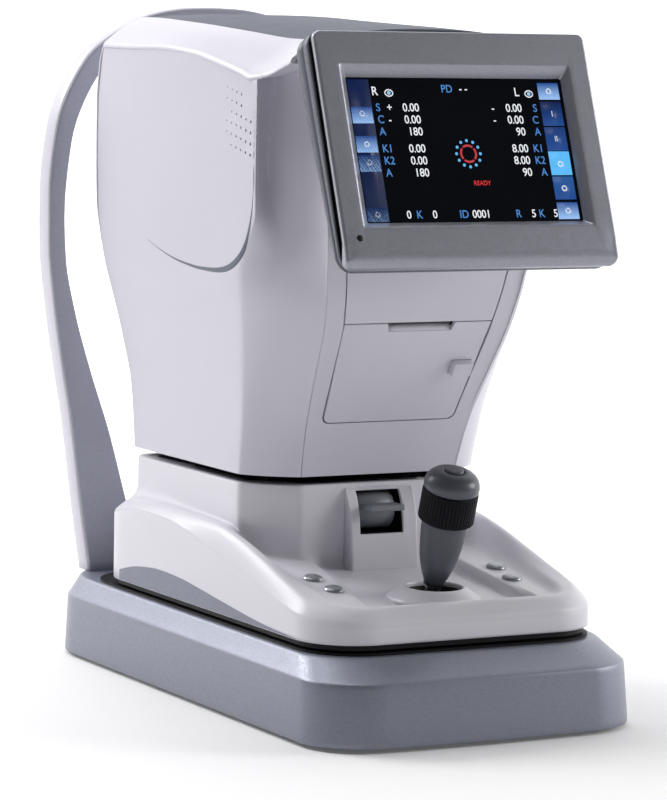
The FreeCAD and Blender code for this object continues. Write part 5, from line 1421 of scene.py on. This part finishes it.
CAD_LOOKS = {
    "bottom_plate": ZINC_STEEL, "guide_rods": STEEL, "gear_racks": BRASS, "slide_plate": BLACK_PLASTIC,
    "rubber_feet": RUBBER, "base_screws": ZINC_STEEL, "power_supply": ZINC_STEEL,
    "power_inlet": BLACK_PLASTIC, "power_switch": BLACK_PLASTIC, "chin_screw": STEEL,
    "carriage_frame": CAST_ALLOY, "cross_shaft": STEEL, "pinions": BRASS,
    "stage_chassis": BLACK_PLASTIC, "shaft_housing": CAST_ALLOY, "stage_bushes": BRONZE,
    "lift_motor": ZINC_STEEL, "lift_rods": STEEL, "gimbal_ring": ZINC_STEEL, "joystick_stick": STEEL,
    "joystick_dust_cap": BLACK_PLASTIC, "lift_screw": STEEL, "head_chassis": CAST_ALLOY,
    "head_bushes": BRONZE, "lift_skirt": BLACK_PLASTIC,
    "optical_tube": BLACK_PLASTIC, "objective_lens": OPTIC_GLASS, "printer_frame": BLACK_PLASTIC,
    "screen_bracket": ZINC_STEEL, "paper_roll": PAPER, "platen_roller": RUBBER,
    "display_panel": DISPLAY_BLACK,
}


def dress_cad_nodes():
    """Each CAD node that still shows gets its finish, and is shaded smooth across its curved faces."""
    for name, look in CAD_LOOKS.items():
        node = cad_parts[name]
        if node.hide_render:
            continue
        node.data.materials.clear()
        node.data.materials.append(look)
        for polygon in node.data.polygons:
            polygon.use_smooth = True
        split = node.modifiers.new("split", "EDGE_SPLIT")
        split.split_angle = math.radians(28)


# ---------------------------------------------------------------------------------------------------------
# Floor, light and camera
# ---------------------------------------------------------------------------------------------------------

def studio():
    """Pale floor that bends up into a backdrop and glows with painted light, faint near the object and bright
    far behind it; a dim surround and three soft lamps.
    """
    floor_look, nodes, links, shader = new_look("glowing_floor_paper")
    links.new(tinted(nodes, links, noise(nodes, links, 2.0), (0.86, 0.86, 0.865), (0.88, 0.88, 0.885)),
              shader.inputs["Base Color"])
    shader.inputs["Roughness"].default_value = 0.9
    # Painted light: the floor glows, faintly near the object and brightly towards the backdrop. This whitens
    # the background and lights the object from behind.
    shader.inputs["Emission Color"].default_value = (1, 1, 1, 1)
    coordinates = nodes.new("ShaderNodeTexCoord")
    split = nodes.new("ShaderNodeSeparateXYZ")
    glow = nodes.new("ShaderNodeMapRange")
    glow.interpolation_type = "SMOOTHSTEP"
    for socket, value in (("From Min", -0.3), ("From Max", 2.5), ("To Min", 0.06), ("To Max", 0.95)):
        glow.inputs[socket].default_value = value
    links.new(coordinates.outputs["Object"], split.inputs["Vector"])
    links.new(split.outputs["Y"], glow.inputs["Value"])
    links.new(glow.outputs["Result"], shader.inputs["Emission Strength"])
    half, near, bend, far_radius, high = 14.0, -8.0, 4.0, 3.0, 14.0
    profile = [(near, 0.0)]
    profile += [(bend + far_radius * math.sin(angle), far_radius * (1 - math.cos(angle)))
                for angle in spread(0, math.pi / 2, 17)]
    profile.append((bend + far_radius, high))
    vertices = [(x, y, z) for y, z in profile for x in (-half, half)]
    mesh = bpy.data.meshes.new("floor")
    mesh.from_pydata(vertices, [], grid_faces(len(profile), 2))
    mesh.materials.append(floor_look)
    for polygon in mesh.polygons:
        polygon.use_smooth = True
    floor = bpy.data.objects.new("floor", mesh)
    floor.rotation_euler.z = -math.radians(CAMERA_YAW)
    bpy.context.scene.collection.objects.link(floor)

    world = bpy.data.worlds.new("studio")
    world.use_nodes = True
    world.node_tree.nodes["Background"].inputs["Color"].default_value = (0.98, 0.985, 1.0, 1)
    world.node_tree.nodes["Background"].inputs["Strength"].default_value = 0.12
    bpy.context.scene.world = world
    for name, place, target, size, power, colour in (
            ("rear_left_window", (-1.15, 1.5, 1.45), (0, 0, 0.25), 1.0, 30, (1.0, 0.99, 1.0)),
            ("top_window", (-0.15, 0.35, 2.2), (0, 0, 0.3), 1.5, 24, (1.0, 1.0, 1.0)),
            ("right_fill", (2.1, -0.95, 0.95), (0, 0, 0.25), 1.0, 27, (1.0, 0.99, 0.98))):
        lamp = bpy.data.lights.new(name, "AREA")
        lamp.size = size
        lamp.energy = power
        lamp.color = colour
        light = bpy.data.objects.new(name, lamp)
        light.location = place
        light.rotation_euler = (Vector(target) - Vector(place)).to_track_quat("-Z", "Y").to_euler()
        bpy.context.scene.collection.objects.link(light)
    bpy.context.scene.view_settings.view_transform = "Standard"
    bpy.context.scene.view_settings.look = "None"


CAMERA_PLACE = (-1.1374, -2.1170, 0.4443)
CAMERA_YAW, CAMERA_PITCH, CAMERA_ROLL = 28.236, 5.997, 1.037
CAMERA_LENS = 163.58


def camera():
    """A long lens at the front left, looking slightly down and turned a little about its axis."""
    yaw, pitch, roll = (math.radians(angle) for angle in (CAMERA_YAW, CAMERA_PITCH, CAMERA_ROLL))
    forward = Vector((math.sin(yaw) * math.cos(pitch), math.cos(yaw) * math.cos(pitch), -math.sin(pitch)))
    right = Vector((math.cos(yaw), -math.sin(yaw), 0))
    up = right.cross(forward)
    turned_right = right * math.cos(roll) + up * math.sin(roll)
    turned_up = up * math.cos(roll) - right * math.sin(roll)
    data = bpy.data.cameras.new("camera")
    data.lens = CAMERA_LENS
    data.sensor_width = 36.0
    view = bpy.data.objects.new("camera", data)
    axes = Matrix((turned_right, turned_up, -forward)).transposed().to_4x4()
    view.matrix_world = Matrix.Translation(CAMERA_PLACE) @ axes
    bpy.context.scene.collection.objects.link(view)
    bpy.context.scene.camera = view


camera()
studio()
for face in (-1, 1):
    head_side(face)
swoosh()
front_panel()
rear_cover()
top_cover()
printer_door()
stage_shell()
side_crescents()
collar()
control_buttons()
joystick()
lock()
screen_bezel()
screen_housing()
display_picture()
base_body()
arch()
forehead_pad()
chin_rest()
dress_cad_nodes()
